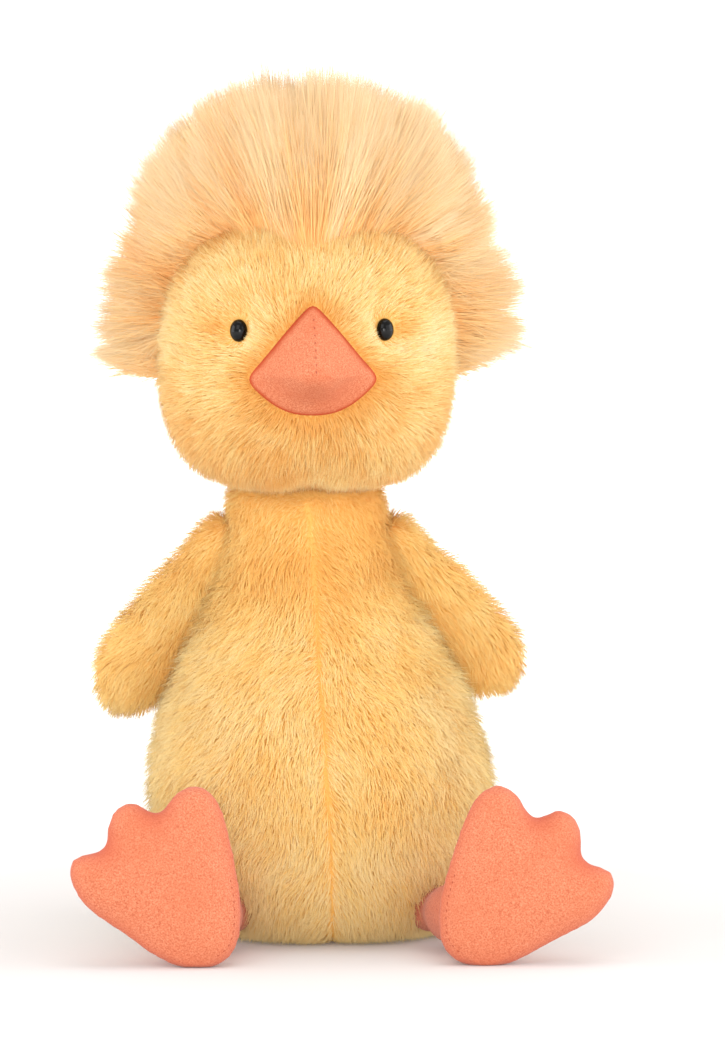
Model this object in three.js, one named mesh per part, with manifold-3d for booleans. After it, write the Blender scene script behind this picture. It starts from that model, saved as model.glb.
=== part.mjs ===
// Sitting plush duckling: a bean-weighted torso, a big soft head with a long-pile crest,
// a suede beak, two wings and two webbed suede feet on short legs.
// Millimetres, +Z up, the duck faces -Y, and the origin is the middle of its flat seat.
import * as THREE from 'three';
import { mergeVertices } from 'three/addons/utils/BufferGeometryUtils.js';
import Module from 'manifold-3d';

const wasm = await Module();
wasm.setup();

// Cloth, thread and clearances
const plushThickness = 1.5;
const suedeThickness = 1.2;
const pouchThickness = 0.8;
const threadThickness = 0.8;
const seamGap = 0.3;
const limbClearance = 2;
const cutOverrun = 400;
const ballSides = 12;
const ringSides = 12;
const neckSides = 16;

// Torso, seen from the front
const neckHeight = 128;
const bellyHalfWidth = 48.6;
const torsoLean = -6.5;
const torsoSquareness = 2.2;
const torsoSides = 22;
const neckDomeRadius = 24;
const collarHeight = 6;

// Each row: height as a share of neckHeight, half-width as a share of bellyHalfWidth,
// then front and back depth as shares of that half-width
const torsoProfileShares = [
  [0, 0.617, 0.94, 0.9],
  [0.025, 0.735, 0.94, 0.88],
  [0.078, 0.844, 0.94, 0.86],
  [0.16, 0.945, 0.935, 0.84],
  [0.28, 1, 0.93, 0.83],
  [0.39, 0.992, 0.93, 0.83],
  [0.52, 0.914, 0.93, 0.85],
  [0.64, 0.786, 0.94, 0.88],
  [0.76, 0.638, 0.96, 0.92],
  [0.845, 0.548, 0.98, 0.96],
  [0.92, 0.502, 1, 1],
  [1, 0.471, 1, 1],
  [1.2, 0.44, 1, 1],
];

// Bean pouch that weights the seat
const pouchHalfWidth = 24;
const pouchHeight = 26;
const pouchSides = 12;
const beanFillDrop = 3;
const pouchProfileShares = [
  [0, 0.72],
  [0.14, 0.9],
  [0.45, 1],
  [0.8, 0.9],
  [1, 0.76],
];

// Head
const headHeightAboveNeck = 50;
const headHalfWidth = 41.5;
const headDepth = 40;
const headTopHeight = 42;
const headBottomHeight = 43;
const headSquareness = 2.2;
const headTopSquareness = 2.4;
const headBottomSquareness = 3;
const headSides = 22;
const headRows = 14;

// Crest: a band of long-pile cloth from ear to ear, and the pile that stands on it
const hairlineDepth = 17;
const hairlineAngle = 20;
const crestBandWidth = 44;
const crestDropBelowCentre = 18;
const crestTopReach = 79;
const crestSideReach = 60;
const crestEndAngle = 104;
const crestRoundness = 1.6;
const crestPileDepth = 31;
const crestPileShift = 3;
const crestPileLean = 11;
const crestSides = 20;
const crestLevels = 3;
const crestFullness = { spread: 2.4, crown: 0.5 };

// Beak
const beakHalfWidth = 19;
const beakRise = 17.5;
const beakDrop = 15.5;
const beakLength = 22;
const beakRootDepth = 9;
const beakHeightBelowCentre = 1.5;
const beakCreaseDrop = 4.9;
const beakLevels = 3;
const beakFullness = { spread: 1.3, crown: 0.85 };
const beakOutlineShares = [
  [0, 1],
  [0.16, 0.9],
  [0.42, 0.58],
  [0.7, 0.2],
  [0.93, -0.1],
  [1, -0.3],
  [0.9, -0.5],
  [0.64, -0.76],
  [0.34, -0.93],
];

// Safety eyes
const eyeHalfSpacing = 22.3;
const eyeHeightAboveCentre = 8;
const eyeRadius = 3.6;
const eyeDomeHeight = 3;
const eyeShankRadius = 1.4;
const eyeShankLength = 8;
const washerRadius = 5;
const washerThickness = 1.2;
const washerSetback = 1.4;
const eyeSetForward = 0.45;
const eyeSides = 12;

// Wings
const shoulderHeightShare = 0.90625;
const shoulderSetback = 2;
const wingRootRadius = 9;
const wingPinchRadius = 7;
const wingLength = 60;
const wingHalfWidth = 10.3;
const wingHalfThickness = 7.2;
const wingBackAngle = 5;
const wingRightAngle = 35.5;
const wingLeftAngle = 40;
const wingSides = 12;

// Each row past the pinch: distance as a share of wingLength, width share, thickness share
const wingProfileShares = [
  [0.25, 0.8, 0.98],
  [0.4, 0.9, 1],
  [0.6, 0.98, 1],
  [0.78, 1, 1],
  [0.88, 0.91, 0.93],
  [0.955, 0.69, 0.72],
  [1, 0.3, 0.34],
];

// Legs
const hipHeight = 11;
const hipSpacingShare = 0.73;
const legRootRadius = 8.2;
const legPinchRadius = 6.3;
const legRadius = 9.4;
const legLength = 42;
const legTurnOut = 21;
const legSides = 12;

// Each row past the pinch: distance as a share of legLength, radius share
const legProfileShares = [
  [0.4, 0.97],
  [0.7, 1],
  [1, 1],
];
const legOpenShare = 1.3;

// Webbed feet
const footHeight = 55;
const footOuterReach = 38.6;
const footInnerReach = 13;
const footHalfThickness = 6.8;
const footTilt = 12;
const footRightOut = 42.2;
const footLeftOut = 40;
const footAheadOfHip = 45.56;
const footRightRollAngle = 0;
const footLeftRollAngle = 8;
const footFlatDepth = 0.5;
const footLevels = 2;
const footFullness = { spread: 3.2, crown: 0.5 };
const footCentreShares = [0.2, 0.47];

// Outline from the heel round: outward as a share of the reach on that side, height share
const footOutlineShares = [
  [0, 0],
  [0.19, 0.02],
  [0.37, 0.083],
  [0.55, 0.176],
  [0.72, 0.258],
  [0.85, 0.325],
  [0.95, 0.42],
  [1, 0.52],
  [0.97, 0.6],
  [0.87, 0.63],
  [0.76, 0.648],
  [0.71, 0.69],
  [0.7, 0.76],
  [0.67, 0.83],
  [0.59, 0.895],
  [0.48, 0.905],
  [0.38, 0.868],
  [0.31, 0.852],
  [0.24, 0.89],
  [0.16, 0.96],
  [0.03, 1],
  [-0.3, 0.965],
  [-0.58, 0.86],
  [-0.77, 0.69],
  [-0.92, 0.5],
  [-1, 0.33],
  [-0.96, 0.2],
  [-0.82, 0.095],
  [-0.5, 0.025],
];

const radians = THREE.MathUtils.degToRad;
const upward = new THREE.Vector3(0, 0, 1);
const forward = new THREE.Vector3(0, -1, 0);
const sideways = new THREE.Vector3(1, 0, 0);
const sideSigns = { left: 1, right: -1 };

// Where the thread rings lie, as angles from their axis. A limb's ring lies behind its root,
// clear of the pinched limb through all its travel
const neckRingAngles = [40, 50].map(radians);
const limbRingAngles = [124, 140].map(radians);

// Closed solids from points and triangles

function solidFrom(geometry) {
  const plain = geometry.clone();
  plain.deleteAttribute('normal');
  plain.deleteAttribute('uv');
  const merged = mergeVertices(plain);
  const positions = merged.attributes.position;
  const corners = [new THREE.Vector3(), new THREE.Vector3(), new THREE.Vector3()];
  const triangles = [];
  let volume = 0;
  for (let i = 0; i < merged.index.count; i += 3) {
    const [a, b, c] = [0, 1, 2].map((step) => merged.index.getX(i + step));
    if (a === b || b === c || c === a) continue;
    triangles.push(a, b, c);
    [a, b, c].forEach((index, place) => corners[place].fromBufferAttribute(positions, index));
    volume += corners[0].dot(corners[1].cross(corners[2]));
  }
  if (volume < 0) triangles.reverse();
  return new wasm.Manifold(new wasm.Mesh({
    numProp: 3,
    vertProperties: new Float32Array(positions.array),
    triVerts: new Uint32Array(triangles),
  }));
}

function geometryFrom(points, triangles) {
  const geometry = new THREE.BufferGeometry();
  geometry.setAttribute('position', new THREE.Float32BufferAttribute(points, 3));
  geometry.setIndex(triangles);
  return geometry;
}

// Rings stacked along Z, closed by a flat fan at each end
function ringStack(rings, sides, squareness = 2) {
  const power = 2 / squareness;
  const points = [];
  const triangles = [];
  for (const ring of rings) {
    for (let i = 0; i < sides; i++) {
      const turn = (i / sides) * 2 * Math.PI;
      const across = Math.sign(Math.cos(turn)) * Math.abs(Math.cos(turn)) ** power;
      const along = Math.sign(Math.sin(turn)) * Math.abs(Math.sin(turn)) ** power;
      const depth = along < 0 ? ring.front : ring.back;
      points.push(ring.x + ring.half * across, depth * along, ring.z);
    }
  }
  for (let row = 0; row < rings.length - 1; row++) {
    for (let i = 0; i < sides; i++) {
      const next = (i + 1) % sides;
      const low = row * sides;
      const high = low + sides;
      triangles.push(low + i, low + next, high + next, low + i, high + next, high + i);
    }
  }
  const bottom = rings[0];
  const top = rings[rings.length - 1];
  const centre = rings.length * sides;
  points.push(bottom.x, 0, bottom.z, top.x, 0, top.z);
  const lastRow = (rings.length - 1) * sides;
  for (let i = 0; i < sides; i++) {
    const next = (i + 1) % sides;
    triangles.push(centre, next, i, centre + 1, lastRow + i, lastRow + next);
  }
  return geometryFrom(points, triangles);
}

// A crowned pad: an outline in the XZ plane that swells to -Y and +Y about one inner point
function pad(outline, middle, frontDepth, backDepth, levels, fullness) {
  const count = outline.length;
  const points = [];
  const triangles = [];
  const addLevel = (share, depth) => {
    for (const [u, v] of outline) {
      points.push(middle[0] + (u - middle[0]) * share, depth, middle[1] + (v - middle[1]) * share);
    }
  };
  const swell = (share) => (1 - share ** fullness.spread) ** fullness.crown;
  const shares = Array.from({ length: levels }, (_, i) => Math.cos(((i + 1) / (levels + 1)) * Math.PI / 2));
  const ordered = [
    ...shares.toReversed().map((share) => [share, -frontDepth * swell(share)]),
    [1, 0],
    ...shares.map((share) => [share, backDepth * swell(share)]),
  ];
  for (const [share, depth] of ordered) addLevel(share, depth);
  for (let row = 0; row < ordered.length - 1; row++) {
    for (let i = 0; i < count; i++) {
      const next = (i + 1) % count;
      const near = row * count;
      const far = near + count;
      triangles.push(near + i, near + next, far + next, near + i, far + next, far + i);
    }
  }
  const frontPoint = ordered.length * count;
  points.push(middle[0], -frontDepth, middle[1], middle[0], backDepth, middle[1]);
  const lastRow = (ordered.length - 1) * count;
  for (let i = 0; i < count; i++) {
    const next = (i + 1) % count;
    triangles.push(frontPoint, next, i, frontPoint + 1, lastRow + i, lastRow + next);
  }
  return geometryFrom(points, triangles);
}

function insetOutline(outline, middle, inset) {
  return outline.map(([u, v]) => {
    const reach = Math.hypot(u - middle[0], v - middle[1]);
    const keep = 1 - inset / reach;
    return [middle[0] + (u - middle[0]) * keep, middle[1] + (v - middle[1]) * keep];
  });
}

function ball(centre, radius, sides = ballSides) {
  return solidFrom(new THREE.SphereGeometry(radius, sides, sides / 2).rotateX(Math.PI / 2)
    .translate(centre.x, centre.y, centre.z));
}

// A ball to cut a socket with, whose flats all lie outside the radius
function socketBall(centre, radius, sides = ballSides) {
  return ball(centre, radius / Math.cos(Math.PI / sides) ** 2, sides);
}

// Everything on the side of a plane that its normal points to
function halfSpace(point, normal, offset = 0) {
  const box = new THREE.BoxGeometry(cutOverrun, cutOverrun, cutOverrun);
  box.translate(0, 0, cutOverrun / 2 + offset);
  box.applyQuaternion(new THREE.Quaternion().setFromUnitVectors(upward, normal.clone().normalize()));
  box.translate(point.x, point.y, point.z);
  return solidFrom(box);
}

function splitByPlane(solid, point, normal) {
  const opposite = normal.clone().negate();
  return [
    solid.intersect(halfSpace(point, normal, seamGap / 2)),
    solid.intersect(halfSpace(point, opposite, seamGap / 2)),
  ];
}

// Ring and socket sizes that leave a seam gap round a ball of a given radius
const ringRadiusAround = (rootRadius) => (rootRadius + seamGap) / Math.cos(Math.PI / ringSides);
const socketRadiusAround = (rootRadius) => ringRadiusAround(rootRadius) + threadThickness + seamGap;

// A band of thread about a centre, between two angles from its axis
function stitchRing(centre, axis, rootRadius, fromAngle, toAngle) {
  const innerRadius = ringRadiusAround(rootRadius);
  const outerRadius = innerRadius + threadThickness;
  const corner = (radius, angle) => new THREE.Vector2(radius * Math.sin(angle), radius * Math.cos(angle));
  const profile = [
    corner(outerRadius, fromAngle),
    corner(outerRadius, toAngle),
    corner(innerRadius, toAngle),
    corner(innerRadius, fromAngle),
    corner(outerRadius, fromAngle),
  ];
  const ring = new THREE.LatheGeometry(profile, ringSides).rotateX(Math.PI / 2);
  ring.applyQuaternion(new THREE.Quaternion().setFromUnitVectors(upward, axis.clone().normalize()));
  return solidFrom(ring.translate(centre.x, centre.y, centre.z));
}

// Torso outline

const leanAt = (height) => (torsoLean * height) / neckHeight;

function torsoSection(height) {
  const rows = torsoProfileShares;
  const share = height / neckHeight;
  let row = 0;
  while (row < rows.length - 2 && rows[row + 1][0] < share) row++;
  const mix = (share - rows[row][0]) / (rows[row + 1][0] - rows[row][0]);
  const at = (column) => THREE.MathUtils.lerp(rows[row][column], rows[row + 1][column], mix);
  const half = bellyHalfWidth * at(1);
  return { half, front: half * at(2), back: half * at(3) };
}

function torsoSolid(growth, floor) {
  const heights = torsoProfileShares.map(([share]) => share * neckHeight).filter((z) => z > floor);
  const rings = [floor, ...heights].map((z) => {
    const section = torsoSection(Math.max(z, 0));
    return {
      x: leanAt(z),
      z,
      half: section.half + growth,
      front: section.front + growth,
      back: section.back + growth,
    };
  });
  return solidFrom(ringStack(rings, torsoSides, torsoSquareness));
}

// Distance from the torso's middle line to its skin in front, at a height and a sideways place
function torsoFrontAt(height, across) {
  const section = torsoSection(height);
  const left = 1 - (Math.abs(across) / section.half) ** torsoSquareness;
  return section.front * left ** (1 / torsoSquareness);
}

const neckCentre = new THREE.Vector3(torsoLean, 0, neckHeight);
const shoulderHeight = neckHeight * shoulderHeightShare;
const headSocketRadius = socketRadiusAround(neckDomeRadius);
const wingSocketRadius = socketRadiusAround(wingRootRadius);
const legSocketRadius = socketRadiusAround(legRootRadius);

const shoulderCentres = {};
const hipCentres = {};
for (const [side, sign] of Object.entries(sideSigns)) {
  const shoulder = torsoSection(shoulderHeight);
  const shoulderX = leanAt(shoulderHeight) + sign * shoulder.half;
  shoulderCentres[side] = new THREE.Vector3(shoulderX, shoulderSetback, shoulderHeight);
  const hipOut = torsoSection(hipHeight).half * hipSpacingShare;
  const hipY = -torsoFrontAt(hipHeight, hipOut);
  hipCentres[side] = new THREE.Vector3(leanAt(hipHeight) + sign * hipOut, hipY, hipHeight);
}

// Limb sockets in the torso's skin and filling
function withoutSockets(solid) {
  let result = solid;
  for (const side of Object.keys(sideSigns)) {
    result = result.subtract(socketBall(shoulderCentres[side], wingSocketRadius));
    result = result.subtract(socketBall(hipCentres[side], legSocketRadius));
  }
  return result;
}

// The filling ends in a dome that the head turns on
function withNeckDome(solid) {
  const aboveNeck = halfSpace(neckCentre, upward);
  return solid.subtract(aboveNeck.subtract(ball(neckCentre, neckDomeRadius, neckSides)));
}

// Head outline

const headCentre = new THREE.Vector3(torsoLean, 0, neckHeight + headHeightAboveNeck);

// How far out of round a level point lies, 1 on the head's widest line
function headLevel(x, y, growth) {
  const across = Math.abs(x / (headHalfWidth + growth)) ** headSquareness;
  const along = Math.abs(y / (headDepth + growth)) ** headSquareness;
  return (across + along) ** (1 / headSquareness);
}

function headSolid(growth) {
  const geometry = new THREE.SphereGeometry(1, headSides, headRows).rotateX(Math.PI / 2);
  const positions = geometry.attributes.position;
  for (let i = 0; i < positions.count; i++) {
    const [x, y, z] = [positions.getX(i), positions.getY(i), positions.getZ(i)];
    const height = (z > 0 ? headTopHeight : headBottomHeight) + growth;
    const squareness = z > 0 ? headTopSquareness : headBottomSquareness;
    const level = headLevel(x, y, growth) ** squareness + Math.abs(z / height) ** squareness;
    const reach = level ** (-1 / squareness);
    positions.setXYZ(i, x * reach, y * reach, z * reach);
  }
  return solidFrom(geometry.translate(headCentre.x, headCentre.y, headCentre.z));
}

// The point of the head's front skin at a place seen from the front, and its outward direction
function headFrontPoint(across, rise) {
  const height = rise > 0 ? headTopHeight : headBottomHeight;
  const squareness = rise > 0 ? headTopSquareness : headBottomSquareness;
  const level = (1 - Math.abs(rise / height) ** squareness) ** (headSquareness / squareness);
  const left = level - Math.abs(across / headHalfWidth) ** headSquareness;
  const depth = headDepth * left ** (1 / headSquareness);
  return new THREE.Vector3(across, -depth, rise).add(headCentre);
}

function headFrontNormal(across, rise) {
  const step = seamGap;
  const level = headFrontPoint(across + step, rise).sub(headFrontPoint(across - step, rise));
  const up = headFrontPoint(across, rise + step).sub(headFrontPoint(across, rise - step));
  return level.cross(up).normalize();
}

// Meshes of the finished model

const duck = new THREE.Group();

const finishes = {
  bodyPlush: { color: 0xf5c873, roughness: 0.95 },
  facePlush: { color: 0xf8d48a, roughness: 0.95 },
  crestPile: { color: 0xfcd3a0, roughness: 0.95 },
  footSuede: { color: 0xf58d68, roughness: 0.9 },
  beakSuede: { color: 0xf0906c, roughness: 0.9 },
  stuffing: { color: 0xf2efe6, roughness: 1 },
  pouchCloth: { color: 0xe6dcc4, roughness: 0.9 },
  beans: { color: 0xd9d9d4, roughness: 0.6 },
  thread: { color: 0xdca65a, roughness: 0.8 },
  eyePlastic: { color: 0x0c0a09, roughness: 0.08 },
  washerPlastic: { color: 0xf0f0ee, roughness: 0.5 },
};
const materials = {};
for (const [name, finish] of Object.entries(finishes)) {
  materials[name] = new THREE.MeshStandardMaterial({ ...finish, metalness: 0 });
}

// Cuts can leave a sliver of no volume beside a piece, so its largest body is kept
function addNode(name, solid, material) {
  const bodies = solid.decompose().toSorted((a, b) => b.volume() - a.volume());
  const mesh = bodies[0].getMesh();
  const geometry = geometryFrom(Array.from(mesh.vertProperties), Array.from(mesh.triVerts));
  geometry.computeVertexNormals();
  const node = new THREE.Mesh(geometry, materials[material]);
  node.name = name;
  duck.add(node);
}

// Torso: four plush panels, a seat panel, stuffing and a weighted pouch

const torsoOuter = withoutSockets(torsoSolid(0, 0).subtract(halfSpace(neckCentre, upward, collarHeight)));
const torsoSkin = torsoOuter.subtract(torsoSolid(-plushThickness, plushThickness));
const seatTop = new THREE.Vector3(0, 0, plushThickness);
const torsoMiddle = new THREE.Vector3(neckHeight, 0, -torsoLean);

addNode('seat_panel', torsoOuter.subtract(halfSpace(seatTop, upward)), 'bodyPlush');

const torsoWalls = torsoSkin.intersect(halfSpace(seatTop, upward, seamGap));
const [torsoBack, torsoFront] = splitByPlane(torsoWalls, new THREE.Vector3(), forward.clone().negate());
for (const [place, half] of [['front', torsoFront], ['back', torsoBack]]) {
  const [left, right] = splitByPlane(half, new THREE.Vector3(), torsoMiddle);
  addNode(`torso_${place}_left_panel`, left, 'bodyPlush');
  addNode(`torso_${place}_right_panel`, right, 'bodyPlush');
}

function pouchSolid(growth, floor, top) {
  const rings = pouchProfileShares.map(([heightShare, widthShare]) => {
    const half = pouchHalfWidth * widthShare + growth;
    return { x: 0, z: THREE.MathUtils.lerp(floor, top, heightShare), half, front: half, back: half };
  });
  return solidFrom(ringStack(rings, pouchSides));
}

const pouchFloor = plushThickness + seamGap;
const pouchTop = pouchFloor + pouchHeight;
const beanFloor = pouchFloor + pouchThickness;
const pouchHollow = pouchSolid(-pouchThickness, beanFloor, pouchTop);
const pouchMouth = halfSpace(new THREE.Vector3(0, 0, pouchTop - pouchThickness), upward);
const pouchCloth = pouchSolid(0, pouchFloor, pouchTop).subtract(pouchHollow).subtract(pouchMouth);
addNode('bean_pouch', pouchCloth, 'pouchCloth');
const beanTop = halfSpace(new THREE.Vector3(0, 0, pouchTop - beanFillDrop), upward);
const beanSolid = pouchSolid(-pouchThickness - seamGap, beanFloor + seamGap, pouchTop).subtract(beanTop);
addNode('bean_fill', beanSolid, 'beans');

const fillInset = plushThickness + seamGap;
const torsoFill = withoutSockets(withNeckDome(torsoSolid(-fillInset, fillInset)));
const pouchRoom = pouchSolid(seamGap, 0, pouchTop + seamGap);
addNode('torso_stuffing', torsoFill.subtract(pouchRoom), 'stuffing');

// Neck seam between torso and head

const neckRing = stitchRing(neckCentre, upward, neckDomeRadius, ...neckRingAngles);
addNode('neck_stitching', neckRing, 'thread');

// Head skin: two face panels, the crest's backing band and two back panels

const neckSocket = socketBall(neckCentre, headSocketRadius, neckSides);
const headOuter = headSolid(0).subtract(neckSocket);
let headSkin = headOuter.subtract(headSolid(-plushThickness));
let headFill = headSolid(-fillInset).subtract(neckSocket);

const hairlineNormal = forward.clone().applyAxisAngle(sideways, radians(hairlineAngle));
const hairlinePoint = headCentre.clone().addScaledVector(forward, hairlineDepth);
const bandBackPoint = hairlinePoint.clone().addScaledVector(hairlineNormal, -crestBandWidth);
const bandLowPoint = headCentre.clone().addScaledVector(upward, -crestDropBelowCentre);

const eyePlaces = Object.entries(sideSigns).map(([side, sign]) => {
  const [across, rise] = [sign * eyeHalfSpacing, eyeHeightAboveCentre];
  return { side, point: headFrontPoint(across, rise), normal: headFrontNormal(across, rise) };
});

// A round piece turned about the eye's own axis, from the skin outward
function turnedAtEye(eye, profile) {
  const shape = new THREE.LatheGeometry(profile.map(([r, h]) => new THREE.Vector2(r, h)), eyeSides);
  shape.rotateX(Math.PI / 2);
  shape.applyQuaternion(new THREE.Quaternion().setFromUnitVectors(upward, eye.normal));
  return solidFrom(shape.translate(eye.point.x, eye.point.y, eye.point.z));
}

function roundBarAtEye(eye, radius, from, to) {
  return turnedAtEye(eye, [[0, from], [radius, from], [radius, to], [0, to]]);
}

const shankHole = eyeShankRadius + seamGap;
const washerTop = -plushThickness - washerSetback;
const washerBottom = washerTop - washerThickness;
for (const eye of eyePlaces) {
  const dome = [];
  const domeSteps = 5;
  for (let i = 0; i <= domeSteps; i++) {
    const angle = (i / domeSteps) * (Math.PI / 2);
    dome.push([eyeRadius * Math.cos(angle), eyeSetForward + eyeDomeHeight * Math.sin(angle)]);
  }
  dome[domeSteps][0] = 0;
  const shank = [[0, -eyeShankLength], [eyeShankRadius, -eyeShankLength], [eyeShankRadius, eyeSetForward]];
  addNode(`eye_${eye.side}`, turnedAtEye(eye, [...shank, ...dome]), 'eyePlastic');
  const washerProfile = [
    [shankHole, washerBottom],
    [washerRadius, washerBottom],
    [washerRadius, washerTop],
    [shankHole, washerTop],
    [shankHole, washerBottom],
  ];
  addNode(`eye_washer_${eye.side}`, turnedAtEye(eye, washerProfile), 'washerPlastic');
  headSkin = headSkin.subtract(roundBarAtEye(eye, shankHole, -headDepth / 2, headDepth / 2));
  const pocketFloor = -eyeShankLength - seamGap;
  const washerRoom = roundBarAtEye(eye, washerRadius + seamGap, washerBottom - seamGap, headDepth / 2);
  headFill = headFill.subtract(washerRoom);
  headFill = headFill.subtract(roundBarAtEye(eye, shankHole, pocketFloor, headDepth / 2));
}
addNode('head_stuffing', headFill, 'stuffing');

const [faceSkin, rearSkin] = splitByPlane(headSkin, hairlinePoint, hairlineNormal);
const [faceLeft, faceRight] = splitByPlane(faceSkin, headCentre, sideways);
addNode('face_left_panel', faceLeft, 'facePlush');
addNode('face_right_panel', faceRight, 'facePlush');

const crestZone = halfSpace(bandBackPoint, hairlineNormal).intersect(halfSpace(bandLowPoint, upward));
const crestZoneInset = halfSpace(bandBackPoint, hairlineNormal, seamGap)
  .intersect(halfSpace(bandLowPoint, upward, seamGap));
addNode('crest_backing', rearSkin.intersect(crestZoneInset), 'crestPile');
const [backLeft, backRight] = splitByPlane(rearSkin.subtract(crestZone), headCentre, sideways);
addNode('head_back_left_panel', backLeft, 'bodyPlush');
addNode('head_back_right_panel', backRight, 'bodyPlush');

// Crest pile, standing round the head from ear to ear

const crestOutline = [];
for (let i = 0; i <= crestSides; i++) {
  const angle = radians(crestEndAngle) * (1 - (2 * i) / crestSides);
  const rise = Math.max(Math.cos(angle), 0) ** crestRoundness;
  const reach = THREE.MathUtils.lerp(crestSideReach, crestTopReach, rise);
  crestOutline.push([reach * Math.sin(-angle), reach * Math.cos(angle)]);
}
const crestLoop = crestOutline.toReversed();
const crestPad = pad(crestLoop, [0, 0], crestPileDepth, crestPileDepth, crestLevels, crestFullness);
crestPad.rotateX(radians(crestPileLean));
crestPad.translate(headCentre.x, headCentre.y + crestPileShift, headCentre.z);
addNode('crest_pile', solidFrom(crestPad).subtract(headSolid(seamGap)), 'crestPile');

// Beak: two upper panels, a lower panel and stuffing

const beakFront = headFrontPoint(0, -beakHeightBelowCentre);
const beakOutline = [
  ...beakOutlineShares,
  [0, -1],
  ...beakOutlineShares.slice(1).map(([u, v]) => [-u, v]).toReversed(),
].map(([u, v]) => [u * beakHalfWidth, v * (v > 0 ? beakRise : beakDrop)]);

function beakSolid(inset, clearance) {
  const outline = insetOutline(beakOutline, [0, 0], inset);
  const shape = pad(outline, [0, 0], beakLength - inset, beakRootDepth, beakLevels, beakFullness);
  shape.translate(beakFront.x, beakFront.y, beakFront.z);
  return solidFrom(shape).subtract(headSolid(clearance));
}

const beakSkin = beakSolid(0, seamGap).subtract(beakSolid(suedeThickness, 0));
const creaseDrop = new THREE.Vector3(0, -beakLength, beakCreaseDrop);
const creaseNormal = creaseDrop.cross(sideways);
const beakTip = beakFront.clone().addScaledVector(forward, beakLength);
const [beakUpper, beakLower] = splitByPlane(beakSkin, beakTip, creaseNormal);
const [beakUpperLeft, beakUpperRight] = splitByPlane(beakUpper, headCentre, sideways);
addNode('beak_upper_left_panel', beakUpperLeft, 'beakSuede');
addNode('beak_upper_right_panel', beakUpperRight, 'beakSuede');
addNode('beak_lower_panel', beakLower, 'beakSuede');
addNode('beak_stuffing', beakSolid(suedeThickness + seamGap, seamGap), 'stuffing');

// Limbs start at a round root held in the torso, pinch at the seam and then swell.
// Growing a limb changes all of it but its root, which fills its socket

function limbSolid(root, pinch, length, rows, grow, directions) {
  const rings = [];
  const pinchRadius = pinch + grow;
  const pinchStart = Math.sqrt(root ** 2 - pinchRadius ** 2);
  const pinchEnd = Math.sqrt(socketRadiusAround(root) ** 2 - pinchRadius ** 2);
  const rootSteps = 5;
  const rootEndShare = 0.35;
  const lastAngle = Math.PI - Math.acos(pinchStart / root);
  for (let i = 0; i <= rootSteps; i++) {
    const angle = lastAngle * ((i + rootEndShare) / (rootSteps + rootEndShare));
    const radius = root * Math.sin(angle);
    rings.push({ z: -root * Math.cos(angle), half: radius, thick: radius });
  }
  rings.push({ z: pinchEnd, half: pinchRadius, thick: pinchRadius });
  for (const [distance, half, thick] of rows) {
    rings.push({ z: distance * (length + grow), half: half + grow, thick: thick + grow });
  }
  const stack = rings.map(({ z, half, thick }) => ({ x: 0, z, half, front: thick, back: thick }));
  const shape = ringStack(stack, directions.sides);
  const basis = new THREE.Matrix4().makeBasis(directions.across, directions.through, directions.along);
  shape.applyMatrix4(basis.setPosition(directions.centre));
  return solidFrom(shape);
}

// Directions of a limb: along it, across its flat and through its thickness
function limbDirections(centre, along, flatNormal, sides) {
  const across = flatNormal.clone().cross(along).normalize();
  return { centre, along, across, through: along.clone().cross(across), sides };
}

// What a limb is cut by: the torso grown by a clearance, open at the limb's own socket
const torsoClear = (clearance, centre, socketRadius) => (
  torsoSolid(clearance, 0).subtract(ball(centre, socketRadius - seamGap))
);

// Wings

const wingAngles = { right: wingRightAngle, left: wingLeftAngle };

for (const [side, sign] of Object.entries(sideSigns)) {
  const centre = shoulderCentres[side];
  const spread = radians(wingAngles[side]);
  const back = radians(wingBackAngle);
  const along = new THREE.Vector3(sign * Math.sin(spread), Math.sin(back), -Math.cos(spread)).normalize();
  const directions = limbDirections(centre, along, forward, wingSides);
  const rows = wingProfileShares.map(([distance, width, thickness]) => (
    [distance, width * wingHalfWidth, thickness * wingHalfThickness]
  ));
  const wingAt = (inset) => (
    limbSolid(wingRootRadius, wingPinchRadius, wingLength, rows, -inset, directions)
      .subtract(torsoClear(limbClearance + inset, centre, wingSocketRadius))
  );
  const skin = wingAt(0).subtract(wingAt(plushThickness)).subtract(socketBall(centre, wingSocketRadius));
  const [front, backPanel] = splitByPlane(skin, centre, directions.through.clone().multiplyScalar(
    Math.sign(directions.through.dot(forward)),
  ));
  addNode(`wing_${side}_front_panel`, front, 'bodyPlush');
  addNode(`wing_${side}_back_panel`, backPanel, 'bodyPlush');
  addNode(`wing_${side}_stuffing`, wingAt(fillInset), 'stuffing');

  const ring = stitchRing(centre, sideways.clone().multiplyScalar(sign), wingRootRadius, ...limbRingAngles);
  addNode(`shoulder_${side}_stitching`, ring, 'thread');
}

// Legs and feet

const footOutline = footOutlineShares.map(([outward, height]) => (
  [outward * (outward > 0 ? footOuterReach : footInnerReach), height * footHeight]
));
const footRollAngles = { right: footRightRollAngle, left: footLeftRollAngle };
const footOuts = { right: footRightOut, left: footLeftOut };
const footMiddle = [footCentreShares[0] * footOuterReach, footCentreShares[1] * footHeight];

function footSolid(side, inset, growth = 0) {
  const sign = sideSigns[side];
  const outline = insetOutline(footOutline, footMiddle, inset - growth).map(([u, v]) => [sign * u, v]);
  const half = footHalfThickness - inset + growth;
  const shape = pad(outline, [sign * footMiddle[0], footMiddle[1]], half, half, footLevels, footFullness);
  shape.rotateY(radians(footRollAngles[side]) * sign);
  shape.rotateX(radians(-footTilt));
  shape.translate(sign * footOuts[side], hipCentres[side].y - footAheadOfHip, -footFlatDepth);
  return solidFrom(shape);
}

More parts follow.
